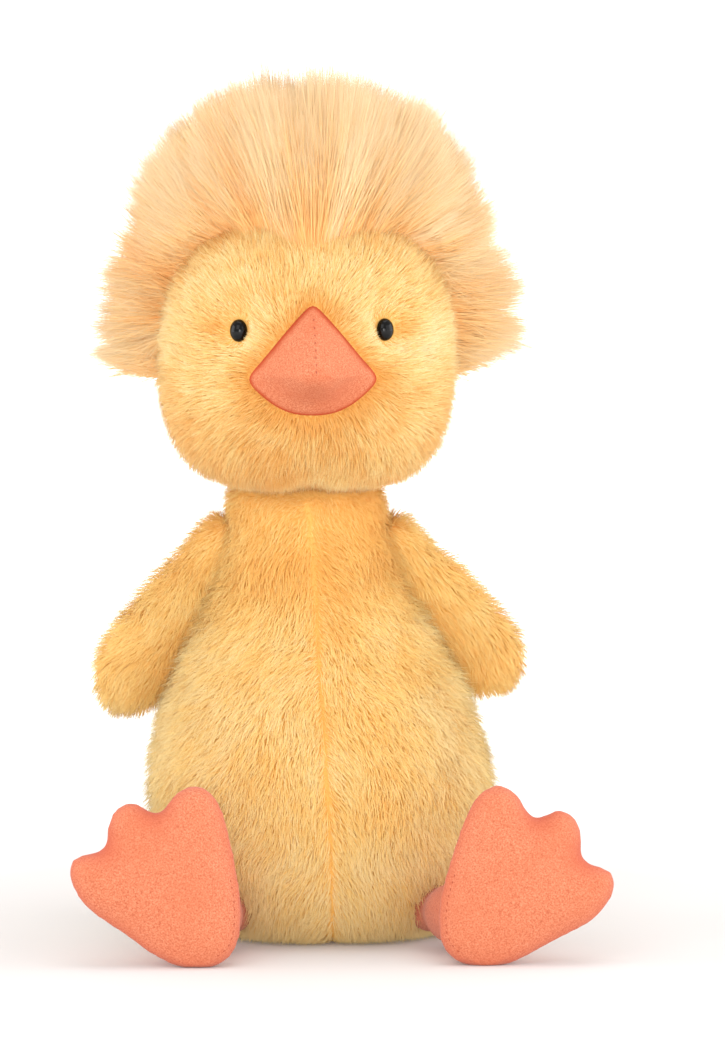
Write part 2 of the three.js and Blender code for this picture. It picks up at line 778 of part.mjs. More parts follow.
const aboveFloor = halfSpace(new THREE.Vector3(), upward);
const aboveSole = halfSpace(new THREE.Vector3(), upward, suedeThickness);
const aboveFootFill = halfSpace(new THREE.Vector3(), upward, suedeThickness + seamGap);
const suedeFillInset = suedeThickness + seamGap;

for (const [side, sign] of Object.entries(sideSigns)) {
  const footSkin = footSolid(side, 0).intersect(aboveFloor)
    .subtract(footSolid(side, suedeThickness).intersect(aboveSole));
  const centre = hipCentres[side];
  const footPoint = new THREE.Vector3(sign * footOuts[side], centre.y - footAheadOfHip, 0);
  const soleNormal = forward.clone().applyAxisAngle(sideways, radians(-footTilt));
  const [sole, top] = splitByPlane(footSkin, footPoint, soleNormal);
  addNode(`foot_${side}_sole_panel`, sole, 'footSuede');
  addNode(`foot_${side}_top_panel`, top, 'footSuede');
  addNode(`foot_${side}_stuffing`, footSolid(side, suedeFillInset).intersect(aboveFootFill), 'stuffing');

  const turn = radians(legTurnOut);
  const along = new THREE.Vector3(sign * Math.sin(turn), -Math.cos(turn), 0);
  const directions = limbDirections(centre, along, upward, legSides);
  const rows = legProfileShares.map(([distance, width]) => [distance, width * legRadius, width * legRadius]);
  const inFrontOfFoot = halfSpace(footPoint, soleNormal);
  const legAt = (inset) => (
    limbSolid(legRootRadius, legPinchRadius, legLength, rows, -inset, directions)
      .subtract(torsoClear(limbClearance + inset, centre, legSocketRadius))
      .subtract(footSolid(side, 0, seamGap)).subtract(inFrontOfFoot)
  );
  const openRows = [...rows, [legOpenShare, legRadius, legRadius]];
  const legHollow = limbSolid(legRootRadius, legPinchRadius, legLength, openRows, -suedeThickness, directions);
  const sleeve = legAt(0).subtract(legHollow).subtract(socketBall(centre, legSocketRadius));
  addNode(`leg_${side}_sleeve`, sleeve, 'footSuede');
  addNode(`leg_${side}_stuffing`, legAt(suedeFillInset), 'stuffing');

  const ring = stitchRing(centre, along, legRootRadius, ...limbRingAngles);
  addNode(`hip_${side}_stitching`, ring, 'thread');
}

export default duck;
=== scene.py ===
# Plush duck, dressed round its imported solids: stuffed cloth, long and short pile, suede, thread and eyes
import math

import bmesh
import bpy
import numpy as np
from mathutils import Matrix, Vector
from mathutils.kdtree import KDTree


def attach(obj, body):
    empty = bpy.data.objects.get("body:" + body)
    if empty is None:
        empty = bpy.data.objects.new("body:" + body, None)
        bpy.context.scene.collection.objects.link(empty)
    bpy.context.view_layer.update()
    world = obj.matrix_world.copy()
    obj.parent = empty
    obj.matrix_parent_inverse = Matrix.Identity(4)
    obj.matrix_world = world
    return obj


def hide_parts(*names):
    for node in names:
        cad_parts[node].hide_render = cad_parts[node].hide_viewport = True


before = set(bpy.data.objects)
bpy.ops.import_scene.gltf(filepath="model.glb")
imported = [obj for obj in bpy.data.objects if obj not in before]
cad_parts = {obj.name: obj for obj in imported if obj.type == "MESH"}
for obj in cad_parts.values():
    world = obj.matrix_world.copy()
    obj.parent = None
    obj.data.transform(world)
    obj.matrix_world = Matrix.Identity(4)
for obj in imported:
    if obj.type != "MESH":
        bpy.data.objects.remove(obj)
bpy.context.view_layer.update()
print("duck: frame loaded")

mm = 0.001  # sizes below are millimetres, and meshes are metres
mapName = "OFBake"
signs = {"left": 1, "right": -1}
down = np.array([0, 0, -1.0])


# Colours as a picture shows them, turned into light
def shade(colour):
    parts = [c / 255 for c in colour]
    return tuple(c / 12.92 if c <= 0.04045 else ((c + 0.055) / 1.055) ** 2.4 for c in parts) + (1.0,)


# Camera, lamps and floor

studio = {
    "azimuth": -2.98,
    "elevation": 8.0,
    "distance": 8.0,
    "target": (0.0104, 0.0, 0.1208),
    "tall": 0.318,  # what the frame's height takes in at the target
    "sky": 0.9,
    "lamps": [  # name, place, size and power
        ("keyLamp", (-0.75, -1.5, 1.2), 1.1, 6.6),
        ("fillLamp", (1.2, -1.1, 0.6), 1.2, 5.0),
        ("lowLamp", (0.1, -1.5, 0.06), 0.8, 4.4),
        ("topLamp", (0.1, 0.15, 1.6), 1.2, 8.0),
        ("leftLamp", (1.7, -0.1, 0.45), 1.2, 12.0),
        ("rightLamp", (-1.7, -0.1, 0.45), 1.2, 12.0),
        ("sparkLamp", (-0.1, -1.5, 0.32), 0.4, 3.8),
    ],
    "floorGlow": (0.14, 0.55, 0.05, 1.0),  # near, far, and the glow at each
    # painted light: the floor's seen colours are tinted warm, and show as the feet's pink bounce in the shadows near
    # them
    "floorColoursWithPaintedBounce": ((0.70, 0.68, 0.67, 1), (0.72, 0.70, 0.69, 1)),
}


def aim(thing, target):
    thing.rotation_euler = (Vector(target) - thing.location).to_track_quat("-Z", "Y").to_euler()


def setStudio():
    turn, rise = math.radians(studio["azimuth"]), math.radians(studio["elevation"])
    back = Vector((math.sin(turn) * math.cos(rise), -math.cos(turn) * math.cos(rise), math.sin(rise)))
    lens = bpy.data.cameras.new("photoCamera")
    lens.lens = lens.sensor_width * studio["distance"] / studio["tall"]
    lens.clip_start, lens.clip_end = 0.05, 50
    camera = bpy.data.objects.new("photoCamera", lens)
    bpy.context.collection.objects.link(camera)
    camera.location = Vector(studio["target"]) + back * studio["distance"]
    aim(camera, studio["target"])
    bpy.context.scene.camera = camera
    for name, place, size, power in studio["lamps"]:
        light = bpy.data.lights.new(name, "AREA")
        light.size, light.energy = size, power
        lamp = bpy.data.objects.new(name, light)
        bpy.context.collection.objects.link(lamp)
        lamp.location = place
        aim(lamp, studio["target"])


setStudio()
bpy.context.scene.view_settings.view_transform = "Standard"


# Shader maths: a wire is a socket that numbers and other wires can be added to, multiplied by and so on
class Wire:
    def __init__(self, finish, socket):
        self.finish, self.socket = finish, socket

    def maths(self, operation, other=0.0, reflected=False):
        sides = (other, self) if reflected else (self, other)
        return self.finish.node("ShaderNodeMath", {"operation": operation}, dict(enumerate(sides)))

    def __add__(self, other):
        return self.maths("ADD", other)

    def __sub__(self, other):
        return self.maths("SUBTRACT", other)

    def __rsub__(self, other):
        return self.maths("SUBTRACT", other, True)

    def __mul__(self, other):
        return self.maths("MULTIPLY", other)

    __radd__ = __add__
    __rmul__ = __mul__


class Finish:
    def __init__(self, name, fixed=None):
        self.material = bpy.data.materials.new(name)
        self.material.use_nodes = True
        self.tree = self.material.node_tree
        self.shader = self.tree.nodes["Principled BSDF"]
        for socket, value in (fixed or {}).items():
            self.shader.inputs[socket].default_value = value

    # Any node: its settings first, then the values or wires of its sockets
    def node(self, kind, settings=None, sockets=None, output=0):
        made = self.tree.nodes.new(kind)
        for name, value in (settings or {}).items():
            if name == "stops":
                ramp = made.color_ramp
                while len(ramp.elements) < len(value):
                    ramp.elements.new(0.5)
                for element, (place, colour) in zip(ramp.elements, value):
                    element.position, element.color = place, shade(colour)
            else:
                setattr(made, name, value)
        for name, value in (sockets or {}).items():
            if isinstance(value, Wire):
                self.tree.links.new(value.socket, made.inputs[name])
            else:
                made.inputs[name].default_value = value
        return Wire(self, made.outputs[output])

    def mix(self, share, first, second):
        return self.node("ShaderNodeMix", {"data_type": "RGBA"}, {0: share, 6: first, 7: second}, 2)

    def feed(self, socket, wire):
        self.tree.links.new(wire.socket, self.shader.inputs[socket])

    def noise(self, size, detail=2.0, seed=0.0):
        place = self.node("ShaderNodeTexCoord", output="Object")
        moved = self.node("ShaderNodeMapping", sockets={"Vector": place, "Location": (seed, seed * 0.7, -seed)})
        return self.node("ShaderNodeTexNoise", sockets={"Vector": moved, "Scale": 1 / (size * mm), "Detail": detail})

    def bump(self, height, depth, strength=1.0):
        sockets = {"Height": height, "Distance": depth * mm, "Strength": strength}
        self.feed("Normal", self.node("ShaderNodeBump", sockets=sockets))


class Room(Finish):
    def __init__(self, world):
        self.tree = world.node_tree
        self.shader = self.tree.nodes["Background"]


# Pile takes its colour from its own map: tone across, root to tip upwards
def pileFinish(name, look):
    # Emission Strength is each pile's through value: a painted glow in the pile's own colour
    finish = Finish(name, {
        "Roughness": 0.8, "Specular IOR Level": 0.0, "Emission Strength": look["through"],
        "Sheen Weight": look["sheen"], "Sheen Roughness": 0.45, "Sheen Tint": shade(look["pale"]),
    })
    place = finish.node("ShaderNodeUVMap", {"uv_map": mapName})
    tone, along = (finish.node("ShaderNodeSeparateXYZ", sockets={"Vector": place}, output=way) for way in "XY")
    stops = [(0.0, look["root"]), (0.35, look["low"]), (0.7, look["mid"]), (1.0, look["tip"])]
    grown = finish.node("ShaderNodeValToRGB", {"stops": stops}, {"Fac": along})
    deep = finish.mix((1 - tone * 2).maths("MAXIMUM", 0.0) * look["deepShare"], grown, shade(look["deep"]))
    pale = finish.mix((tone * 2 - 1).maths("MAXIMUM", 0.0) * look["paleShare"], deep, shade(look["pale"]))
    finish.feed("Base Color", pale)
    finish.feed("Emission Color", pale)  # painted light: the strands glow faintly in their own colour, standing in for light that comes through them
    return finish.material


# Plain grain between two colours, for cloth under pile and for plastic
def grainFinish(name, low, high, size, fixed, depth=0):
    finish = Finish(name, fixed)
    grain = finish.noise(size, 3.0 if depth else 2.0)
    finish.feed("Base Color", finish.mix(grain, shade(low), shade(high)))
    if depth:
        finish.bump(grain, depth)
    return finish.material


# Suede: fine grain and nap, with painted shade where the cloth folds in or turns under an edge
def suedeFinish(name, look):
    finish = Finish(name, {
        "Roughness": 0.9, "Specular IOR Level": 0.15, "Sheen Weight": look["sheen"], "Sheen Roughness": 0.6,
    })
    fine = finish.noise(look["grain"], 3.0)
    broad = finish.noise(look["nap"], 2.0, 3.1)
    speck = finish.noise(look["grain"] * 0.55, 1.0, 7.3)
    stops = [(0.34, look["dark"]), (0.5, look["base"]), (0.68, look["light"])]
    grained = finish.node("ShaderNodeValToRGB", {"stops": stops}, {"Fac": fine * 0.75 + speck * 0.25})
    patches = ((broad - 0.42) * 2.6).maths("MAXIMUM", 0.0).maths("MINIMUM", 1.0)
    napped = finish.mix(patches * 0.45, grained, shade(look["nap2"]))
    # painted shade, at folds, turned edges and the beak's rim, darkens the suede towards its deep colour
    fold = finish.node("ShaderNodeAttribute", {"attribute_name": "fold"}, output="Fac")
    finish.feed("Base Color", finish.mix(fold, napped, shade(look["deep"])))
    finish.bump(fine * 0.6 + speck * 0.4, 0.25, 0.8)
    return finish.material


def threadFinish(name, colour, dark):
    finish = Finish(name, {"Roughness": 0.7})
    place = finish.node("ShaderNodeTexCoord", output="Object")
    twist = finish.node("ShaderNodeTexWave", sockets={"Vector": place, "Scale": 900.0, "Distortion": 1.5})
    finish.feed("Base Color", finish.mix(twist, shade(dark), shade(colour)))
    finish.bump(twist, 0.1)
    return finish.material


cloth = {"Roughness": 0.95, "Specular IOR Level": 0.1}
finishes = {
    # through is the strength of each pile's painted glow
    "bodyPile": pileFinish("bodyPile", {
        "root": (246, 182, 92), "low": (248, 197, 110), "mid": (248, 209, 130), "tip": (248, 220, 152),
        "deep": (242, 168, 78), "deepShare": 0.6, "pale": (249, 231, 182), "paleShare": 0.5,
        "sheen": 0.3, "through": 0.03,
    }),
    "facePile": pileFinish("facePile", {
        "root": (242, 180, 94), "low": (246, 198, 116), "mid": (248, 212, 140), "tip": (249, 225, 164),
        "deep": (234, 156, 70), "deepShare": 0.7, "pale": (250, 238, 200), "paleShare": 0.5,
        "sheen": 0.3, "through": 0.03,
    }),
    "crestPile": pileFinish("crestPile", {
        "root": (248, 182, 110), "low": (247, 196, 130), "mid": (246, 206, 148), "tip": (248, 219, 180),
        "deep": (244, 168, 96), "deepShare": 0.65, "pale": (250, 226, 188), "paleShare": 0.5,
        "sheen": 0.0, "through": 0.13,
    }),
    "bodyCloth": grainFinish("bodyCloth", (246, 184, 96), (252, 198, 112), 1.2, cloth, 0.4),
    "crestCloth": grainFinish("crestCloth", (250, 196, 126), (255, 210, 144), 1.2, cloth, 0.4),
    "footSuede": suedeFinish("footSuede", {
        "grain": 0.5, "nap": 16, "dark": (188, 92, 60), "base": (210, 121, 85), "light": (226, 144, 108),
        "nap2": (202, 108, 72), "deep": (190, 82, 50), "sheen": 0.2,
    }),
    "beakSuede": suedeFinish("beakSuede", {
        "grain": 0.5, "nap": 12, "dark": (188, 96, 66), "base": (208, 124, 88), "light": (222, 148, 112),
        "nap2": (206, 104, 68), "deep": (182, 72, 38), "sheen": 0.03,
    }),
    "thread": threadFinish("thread", (196, 92, 58), (158, 62, 38)),
    "seamThread": threadFinish("seamThread", (224, 170, 96), (196, 140, 70)),
    "eyePlastic": grainFinish("eyePlastic", (5, 4, 4), (9, 7, 6), 4, {"Roughness": 0.06, "Specular IOR Level": 0.22}),
    "washerPlastic": grainFinish("washerPlastic", (228, 228, 222), (240, 240, 236), 3, {"Roughness": 0.45}),
}
print("duck: finishes ready")


# A floor that is white to the eye and plain to the light, under a white sky
def setStage():
    bpy.ops.object.select_all(action="DESELECT")
    bpy.ops.mesh.primitive_plane_add(size=12)
    floor = bpy.context.active_object
    floor.name = "floor"
    finish = Finish("floorPaper", {
        "Base Color": shade((232, 230, 228)), "Roughness": 0.9, "Specular IOR Level": 0.1,
    })
    rays = ("Is Camera Ray", "Is Glossy Ray", "Is Transmission Ray")
    camera, glossy, through = (finish.node("ShaderNodeLightPath", output=ray) for ray in rays)
    seen = (camera + glossy + through).maths("MINIMUM", 1.0)
    # painted light: a warm tint that shows as the feet's pink bounce where the floor is in shadow
    colour = finish.mix(finish.noise(400, 1.0), *studio["floorColoursWithPaintedBounce"])
    white = finish.node("ShaderNodeBsdfDiffuse", sockets={"Color": colour})
    place = finish.node("ShaderNodeTexCoord", output="Object")
    away = finish.node("ShaderNodeVectorMath", {"operation": "LENGTH"}, {0: place}, "Value")
    near, far, dim, bright = studio["floorGlow"]
    level = finish.node("ShaderNodeMapRange", sockets={
        "Value": away, "From Min": near, "From Max": far, "To Min": dim, "To Max": bright,
    })
    glow = finish.node("ShaderNodeEmission", sockets={"Color": (1, 1, 1, 1), "Strength": level})
    lit = finish.node("ShaderNodeAddShader", sockets={0: white, 1: glow})
    plain = Wire(finish, finish.shader.outputs[0])
    shown = finish.node("ShaderNodeMixShader", sockets={0: seen, 1: plain, 2: lit})
    finish.tree.links.new(shown.socket, finish.tree.nodes["Material Output"].inputs["Surface"])
    floor.data.materials.append(finish.material)

    world = bpy.data.worlds.new("paleRoom")
    bpy.context.scene.world = world
    world.use_nodes = True
    room = Room(world)
    room.shader.inputs["Color"].default_value = (1, 1, 1, 1)
    camera, through = (room.node("ShaderNodeLightPath", output=ray) for ray in (rays[0], rays[2]))
    room.feed("Strength", room.node("ShaderNodeMapRange", sockets={
        "Value": camera.maths("MAXIMUM", through), "To Min": studio["sky"], "To Max": 1.0,
    }))


setStage()


# Small helpers for points

def unitOf(vectors):
    return vectors / np.maximum(np.linalg.norm(vectors, axis=-1, keepdims=True), 1e-9)


def sizeOf(vectors):
    return np.linalg.norm(vectors, axis=1)


# From 0 at the first value to 1 at the second, and flat beyond them
def ramp(values, start, end):
    return np.clip((values - start) / (end - start), 0, 1)


# 1 where the gap is none, and next to nothing at twice the reach
def fall(gap, reach):
    return np.exp(-(gap / reach) ** 2)


def vertexValues(thing, what):
    flat = np.zeros(len(thing.data.vertices) * 3, np.float32)
    thing.data.vertices.foreach_get(what, flat)
    return flat.reshape(-1, 3).astype(float)


def pointsOf(thing):
    return vertexValues(thing, "co") / mm


def setPoints(thing, points):
    thing.data.vertices.foreach_set("co", (points * mm).astype(np.float32).ravel())
    thing.data.update()


# Smooth curve through points, resampled evenly
def curveThrough(points, count, closed=False):
    p = np.array(points, float)
    p = np.vstack([p[-1], p, p[:2]]) if closed else np.vstack([2 * p[0] - p[1], p, 2 * p[-1] - p[-2]])
    t = np.linspace(0, 1, 16, endpoint=False)[:, None]
    parts = [
        0.5 * (2 * b + (c - a) * t + (2 * a - 5 * b + 4 * c - d) * t**2 + (3 * b - a - 3 * c + d) * t**3)
        for a, b, c, d in zip(p, p[1:], p[2:], p[3:])
    ]
    fine = np.vstack(parts + [p[-2][None]])
    walked = np.r_[0, np.cumsum(np.linalg.norm(np.diff(fine, axis=0), axis=1))]
    at = np.linspace(0, walked[-1], count, endpoint=not closed)
    return np.stack([np.interp(at, walked, column) for column in fine.T], axis=1)


# The columns of a table at a share of its length
def columnsAt(rows, share):
    return [np.interp(share * (len(rows) - 1), np.arange(len(rows)), column) for column in rows.T]


# Smooth random values from 0 to 1 in space, one cell for each size
def drift(points, size, seed):
    cell = np.floor(points / size).astype(np.int64)
    part = points / size - cell
    part = part * part * (3 - 2 * part)
    total = np.zeros(len(points))
    for corner in range(8):
        step = np.array([corner & 1, corner >> 1 & 1, corner >> 2 & 1])
        x, y, z = (cell + step).T
        mixed = (x * 73856093) ^ (y * 19349663) ^ (z * 83492791) ^ (seed * 2654435761)
        mixed = ((mixed ^ (mixed >> 13)) * 1274126177) & 0xFFFFFFFF
        mixed ^= mixed >> 16
        total += (mixed & 0xFFFF) / 65535 * np.prod(np.where(step, part, 1 - part), axis=1)
    return total


# The same, about zero
def sway(points, size, seed):
    return drift(points, size, seed) - 0.5


# From values between 0 and 1: 1, give or take a share
def vary(values, share):
    return 1 - share + 2 * share * values


# Which centre is nearest to each point, and how far it is
def nearest(points, centres):
    tree = KDTree(len(centres))
    for i, centre in enumerate(centres):
        tree.insert(centre, i)
    tree.balance()
    found = [tree.find(p)[1:] for p in points]
    return np.array([i for i, _ in found]), np.array([gap for _, gap in found])


def distanceTo(points, loop):
    best = np.full(len(points), 1e9)
    for a, b in zip(loop, np.roll(loop, -1, axis=0)):
        along = np.clip((points - a) @ (b - a) / ((b - a) @ (b - a)), 0, 1)
        best = np.minimum(best, sizeOf(points - a - along[:, None] * (b - a)))
    return best


# Blender adds the faces of a sphere in another order each run, and strands are spread by that order
def sortFaces(thing):
    mesh = bmesh.new()
    mesh.from_mesh(thing.data)
    mesh.faces.sort(key=lambda face: face.verts[0].index * len(mesh.verts) + face.verts[1].index)
    mesh.to_mesh(thing.data)
    mesh.free()


# Adds a primitive with nothing else selected
def added(operator, name, **sizes):
    bpy.ops.object.select_all(action="DESELECT")
    operator(**sizes)
    made = bpy.context.active_object
    made.name = made.data.name = name
    return made


# A round mesh whose every point is moved to its place by a function of its latitude share and longitude
def roundForm(name, segments, rings, place):
    made = added(bpy.ops.mesh.primitive_uv_sphere_add, name, segments=segments, ring_count=rings, radius=1)
    unit = pointsOf(made) * mm
    share = np.arcsin(np.clip(unit[:, 2], -1, 1)) / math.pi + 0.5
    setPoints(made, place(share, np.arctan2(unit[:, 1], unit[:, 0]), unitOf(unit)))
    bpy.ops.object.mode_set(mode="EDIT")
    bpy.ops.mesh.select_all(action="SELECT")
    bpy.ops.mesh.normals_make_consistent(inside=False)
    bpy.ops.object.mode_set(mode="OBJECT")
    bpy.ops.object.shade_smooth()
    sortFaces(made)
    return made


def dress(thing, body, slot, finish, *nodes, fill=None):
    thing.data.materials.clear()
    thing.data.materials.append(finishes[finish])
    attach(thing, body)
    if nodes:
        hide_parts(*nodes)


# Fills a closed cloth form by pressure: its seams are held, and the cloth between them swells a little
filling = {"scale": 15, "pressure": 4.0, "steps": 20, "tuck": 0.5}


def stuff(form, voxel, cap, heldShare):
    scene = bpy.context.scene
    scale = filling["scale"]
    work = bpy.data.objects.new(form.name + "Cloth", form.data.copy())
    bpy.context.collection.objects.link(work)
    bpy.ops.object.select_all(action="DESELECT")
    work.select_set(True)
    bpy.context.view_layer.objects.active = work
    setPoints(work, pointsOf(work) * scale)
    even = work.modifiers.new("even", "REMESH")
    even.mode, even.voxel_size = "VOXEL", voxel * mm * scale
    bpy.ops.object.modifier_apply(modifier="even")
    start = pointsOf(work) / scale
    held = np.clip(heldShare(start), 0, 1)
    start -= vertexValues(work, "normal") * (filling["tuck"] * (1 - held))[:, None]
    setPoints(work, start * scale)
    group = work.vertex_groups.new(name="seam")
    for i, weight in enumerate(held):
        group.add([i], float(weight), "REPLACE")
    swell = work.modifiers.new("cloth", "CLOTH")
    swell.settings.use_pressure = True
    swell.settings.uniform_pressure_force = filling["pressure"]
    swell.settings.effector_weights.gravity = 0
    swell.settings.vertex_group_mass = "seam"
    swell.point_cache.frame_start, swell.point_cache.frame_end = 1, filling["steps"]
    for step in range(1, filling["steps"] + 1):
        scene.frame_set(step)
    swollen = pointsOf(work.evaluated_get(bpy.context.evaluated_depsgraph_get())) / scale
    move = swollen - start
    far = sizeOf(move)
    work.modifiers.remove(swell)
    scene.frame_set(1)
    setPoints(work, start + move * np.minimum(1, cap / np.maximum(far, 1e-6))[:, None])
    finer = work.modifiers.new("finer", "SUBSURF")
    finer.levels = finer.render_levels = 1
    bpy.ops.object.modifier_apply(modifier="finer")
    bpy.ops.object.shade_smooth()
    work.vertex_groups.clear()
    form.data, name = work.data, form.data.name
    form.data.name = name
    bpy.data.objects.remove(work)
    print("duck:", form.name, "stuffed, moved", round(float(np.minimum(far, cap).mean()), 2), "mm")


# Torso

torso = {
    "lean": -6.5,
    "neckHeight": 128,
    "squareness": 2.2,
    "profile": [  # height, half-width, front depth, back depth
        (0, 0, 0, 0), (0, 16, 15, 14.5), (0.1, 29, 27.2, 26), (3.2, 35.7, 33.6, 31.4), (10, 41, 38.6, 35.3),
        (20.5, 45.9, 42.9, 38.6), (35.8, 48.6, 45.2, 40.3), (49.9, 48.2, 44.8, 40), (66.6, 44.4, 41.3, 37.8),
        (81.9, 38.2, 35.9, 33.6), (97.3, 31, 29.8, 28.5), (108.2, 26.6, 26.1, 25.6), (117.8, 24.4, 24.4, 24.4),
        (128, 22.9, 22.9, 22.9), (134, 21.5, 21.5, 21.5), (138, 14, 14, 14), (139, 0, 0, 0),
    ],
}


def torsoMiddle(height):
    return torso["lean"] * height / torso["neckHeight"]


def torsoPlace(share, turn, unit):
    height, half, front, back = columnsAt(curveThrough(torso["profile"], 240), share)
    height = np.maximum(height, 0)
    across, along = (np.sign(way) * np.abs(way) ** (2 / torso["squareness"]) for way in (np.cos(turn), np.sin(turn)))
    return np.stack([torsoMiddle(height) + half * across, np.where(along < 0, front, back) * along, height], axis=1)


# The torso's seams run down its middle in front and behind, down its sides, and round the seat
def torsoSeam(points):
    aside = np.minimum(np.abs(points[:, 0] - torsoMiddle(points[:, 2])), np.abs(points[:, 1]))
    return fall(aside, 2) + fall(points[:, 2], 3) + (points[:, 2] > 126)


torsoForm = roundForm("torsoStuffed", 72, 60, torsoPlace)
stuff(torsoForm, 3.2, 1.2, torsoSeam)

# Head

head = {
    "centre": np.array([-6.5, 0, 178.0]),
    "halfWidth": 41.5,
    "depth": 40,
    "top": 42,
    "bottom": 43,
    "squareness": 2.2,
    "topSquareness": 2.4,
    "bottomSquareness": 3,
    "eyes": {"left": (22.3, 8), "right": (-22.3, 8)},
    "dimple": (2.2, 6.0),  # depth and reach of the hollow round an eye
    "chinNotch": (2.0, 4.0),
}
headX, _, headZ = head["centre"]


def headReach(unit):
    height = np.where(unit[:, 2] > 0, head["top"], head["bottom"])
    power = np.where(unit[:, 2] > 0, head["topSquareness"], head["bottomSquareness"])
    level = np.abs(unit[:, 0] / head["halfWidth"]) ** head["squareness"]
    level = (level + np.abs(unit[:, 1] / head["depth"]) ** head["squareness"]) ** (1 / head["squareness"])
    return (level**power + np.abs(unit[:, 2] / height) ** power) ** (-1 / power)


# The point of the head's front at a place seen from the front, and its outward direction
def headFront(across, rise):
    power = head["topSquareness"] if rise > 0 else head["bottomSquareness"]
    tall = head["top"] if rise > 0 else head["bottom"]
    level = (1 - abs(rise / tall) ** power) ** (head["squareness"] / power)
    level -= abs(across / head["halfWidth"]) ** head["squareness"]
    return head["centre"] + np.array([across, -head["depth"] * level ** (1 / head["squareness"]), rise])


def headFrontOut(across, rise, step=0.3):
    level = headFront(across + step, rise) - headFront(across - step, rise)
    up = headFront(across, rise + step) - headFront(across, rise - step)
    return unitOf(np.cross(level, up))


eyePoints = {side: headFront(*place) for side, place in head["eyes"].items()}
eyeOuts = {side: headFrontOut(*place) for side, place in head["eyes"].items()}


def headPlace(share, turn, unit):
    points = head["centre"] + unit * headReach(unit)[:, None]
    depth, reach = head["dimple"]
    for side, point in eyePoints.items():
        points -= eyeOuts[side] * (depth * fall(sizeOf(points - point), reach))[:, None]
    depth, reach = head["chinNotch"]
    low = ramp(points[:, 2], headZ - 26, headZ - 38) * ramp(points[:, 1], 0, -20)
    seam = fall(points[:, 0] - headX, reach) * low
    points += np.array([0, 0.5, 1]) * (depth * seam)[:, None]
    return points


# The head's seams are the face's middle and the hairline, and the eyes and the beak hold it too
def headSeam(points):
    aside = points[:, 0] - headX
    held = fall(aside, 2) + fall(behindHairline(points), 2)
    held += sum(fall(sizeOf(points - point), 5) for point in eyePoints.values())
    return held + (np.abs(aside) + np.abs(points[:, 2] - headZ + 2) < 19) * (points[:, 1] < -25)


hair = {
    "line": [(0, -31), (6, -29.5), (20, -20), (28, -14), (38, -8), (42, -4)],  # across from the middle, then depth
    "angle": 20, "back": 29.8, "drop": 10,
}


# How far behind the hairline a point lies: a soft peak at the brow, back towards the sides
def behindHairline(points):
    across, depth = np.array(hair["line"]).T
    return points[:, 1] - np.interp(np.abs(points[:, 0] - headX), across, depth) + sway(points, 4, 9) * 2.4


def hairShare(points):
    front = behindHairline(points)
    back = hair["back"] - math.tan(math.radians(hair["angle"])) * (points[:, 2] - headZ) - points[:, 1]
    return front / np.maximum(front + back, 1e-3)


def onCrest(points):
    share = hairShare(points)
    ragged = sway(points, 3, 12) + 0.8 * sway(points, 9, 13)
    lowest = headZ - hair["drop"] + ragged * 7 + 0.12 * points[:, 1]
    return (share > 0) & (share < 1 + ragged * 0.14) & (behindHairline(points) > 0) & (points[:, 2] > lowest)


headForm = roundForm("headStuffed", 96, 66, headPlace)
stuff(headForm, 3, 1.2, headSeam)

# Wings

wing = {
    "shoulders": {"left": np.array([18.916, 2, 116.0]), "right": np.array([-30.698, 2, 116.0])},
    "angles": {"left": 40, "right": 35.5}, "lengths": {"left": 0.94, "right": 1},
    "back": 5,
    "rows": [  # distance from the seam, half-width, half-thickness
        (-9, 0, 0), (-7.6, 4.8, 4.8), (-3, 8.2, 8.2), (3, 8.4, 8), (8, 8.4, 7.2), (15, 9.2, 7.2), (24, 10, 7.3),
        (34, 10.4, 7.3), (44, 10.2, 7.2), (50, 9.2, 6.6), (54, 6.8, 5.0), (56.4, 3.4, 2.5), (57, 0, 0),
    ],
}


def limbAxes(along, flat):
    across = unitOf(np.cross(flat, along))
    return along, across, np.cross(along, across)


def wingAxes(side):
    spread, back = math.radians(wing["angles"][side]), math.radians(wing["back"])
    along = unitOf(np.array([signs[side] * math.sin(spread), math.sin(back), -math.cos(spread)]))
    return limbAxes(along, np.array([0, -1.0, 0]))


def limbPlace(rows, centre, axes, grown=1):
    rows = curveThrough(rows, 160) * np.array([grown, 1, 1])
    along, across, through = axes

    def place(share, turn, unit):
        distance, half, thick = columnsAt(rows, share)
        half, thick = np.maximum(half, 0) * np.cos(turn), np.maximum(thick, 0) * np.sin(turn)
        return centre + distance[:, None] * along + half[:, None] * across + thick[:, None] * through

    return place


wingForms = {}
for side, grown in wing["lengths"].items():
    place = limbPlace(wing["rows"], wing["shoulders"][side], wingAxes(side), grown)
    wingForms[side] = roundForm(f"wing{side.title()}Stuffed", 40, 36, place)
for side, form in wingForms.items():
    along, across, through = wingAxes(side)

    def wingSeam(points, start=wing["shoulders"][side], along=along, through=through):
        away = points - start
        return fall(away @ through, 1.2) + (away @ along < 9)

    stuff(form, 2, 1, wingSeam)

# Legs and feet

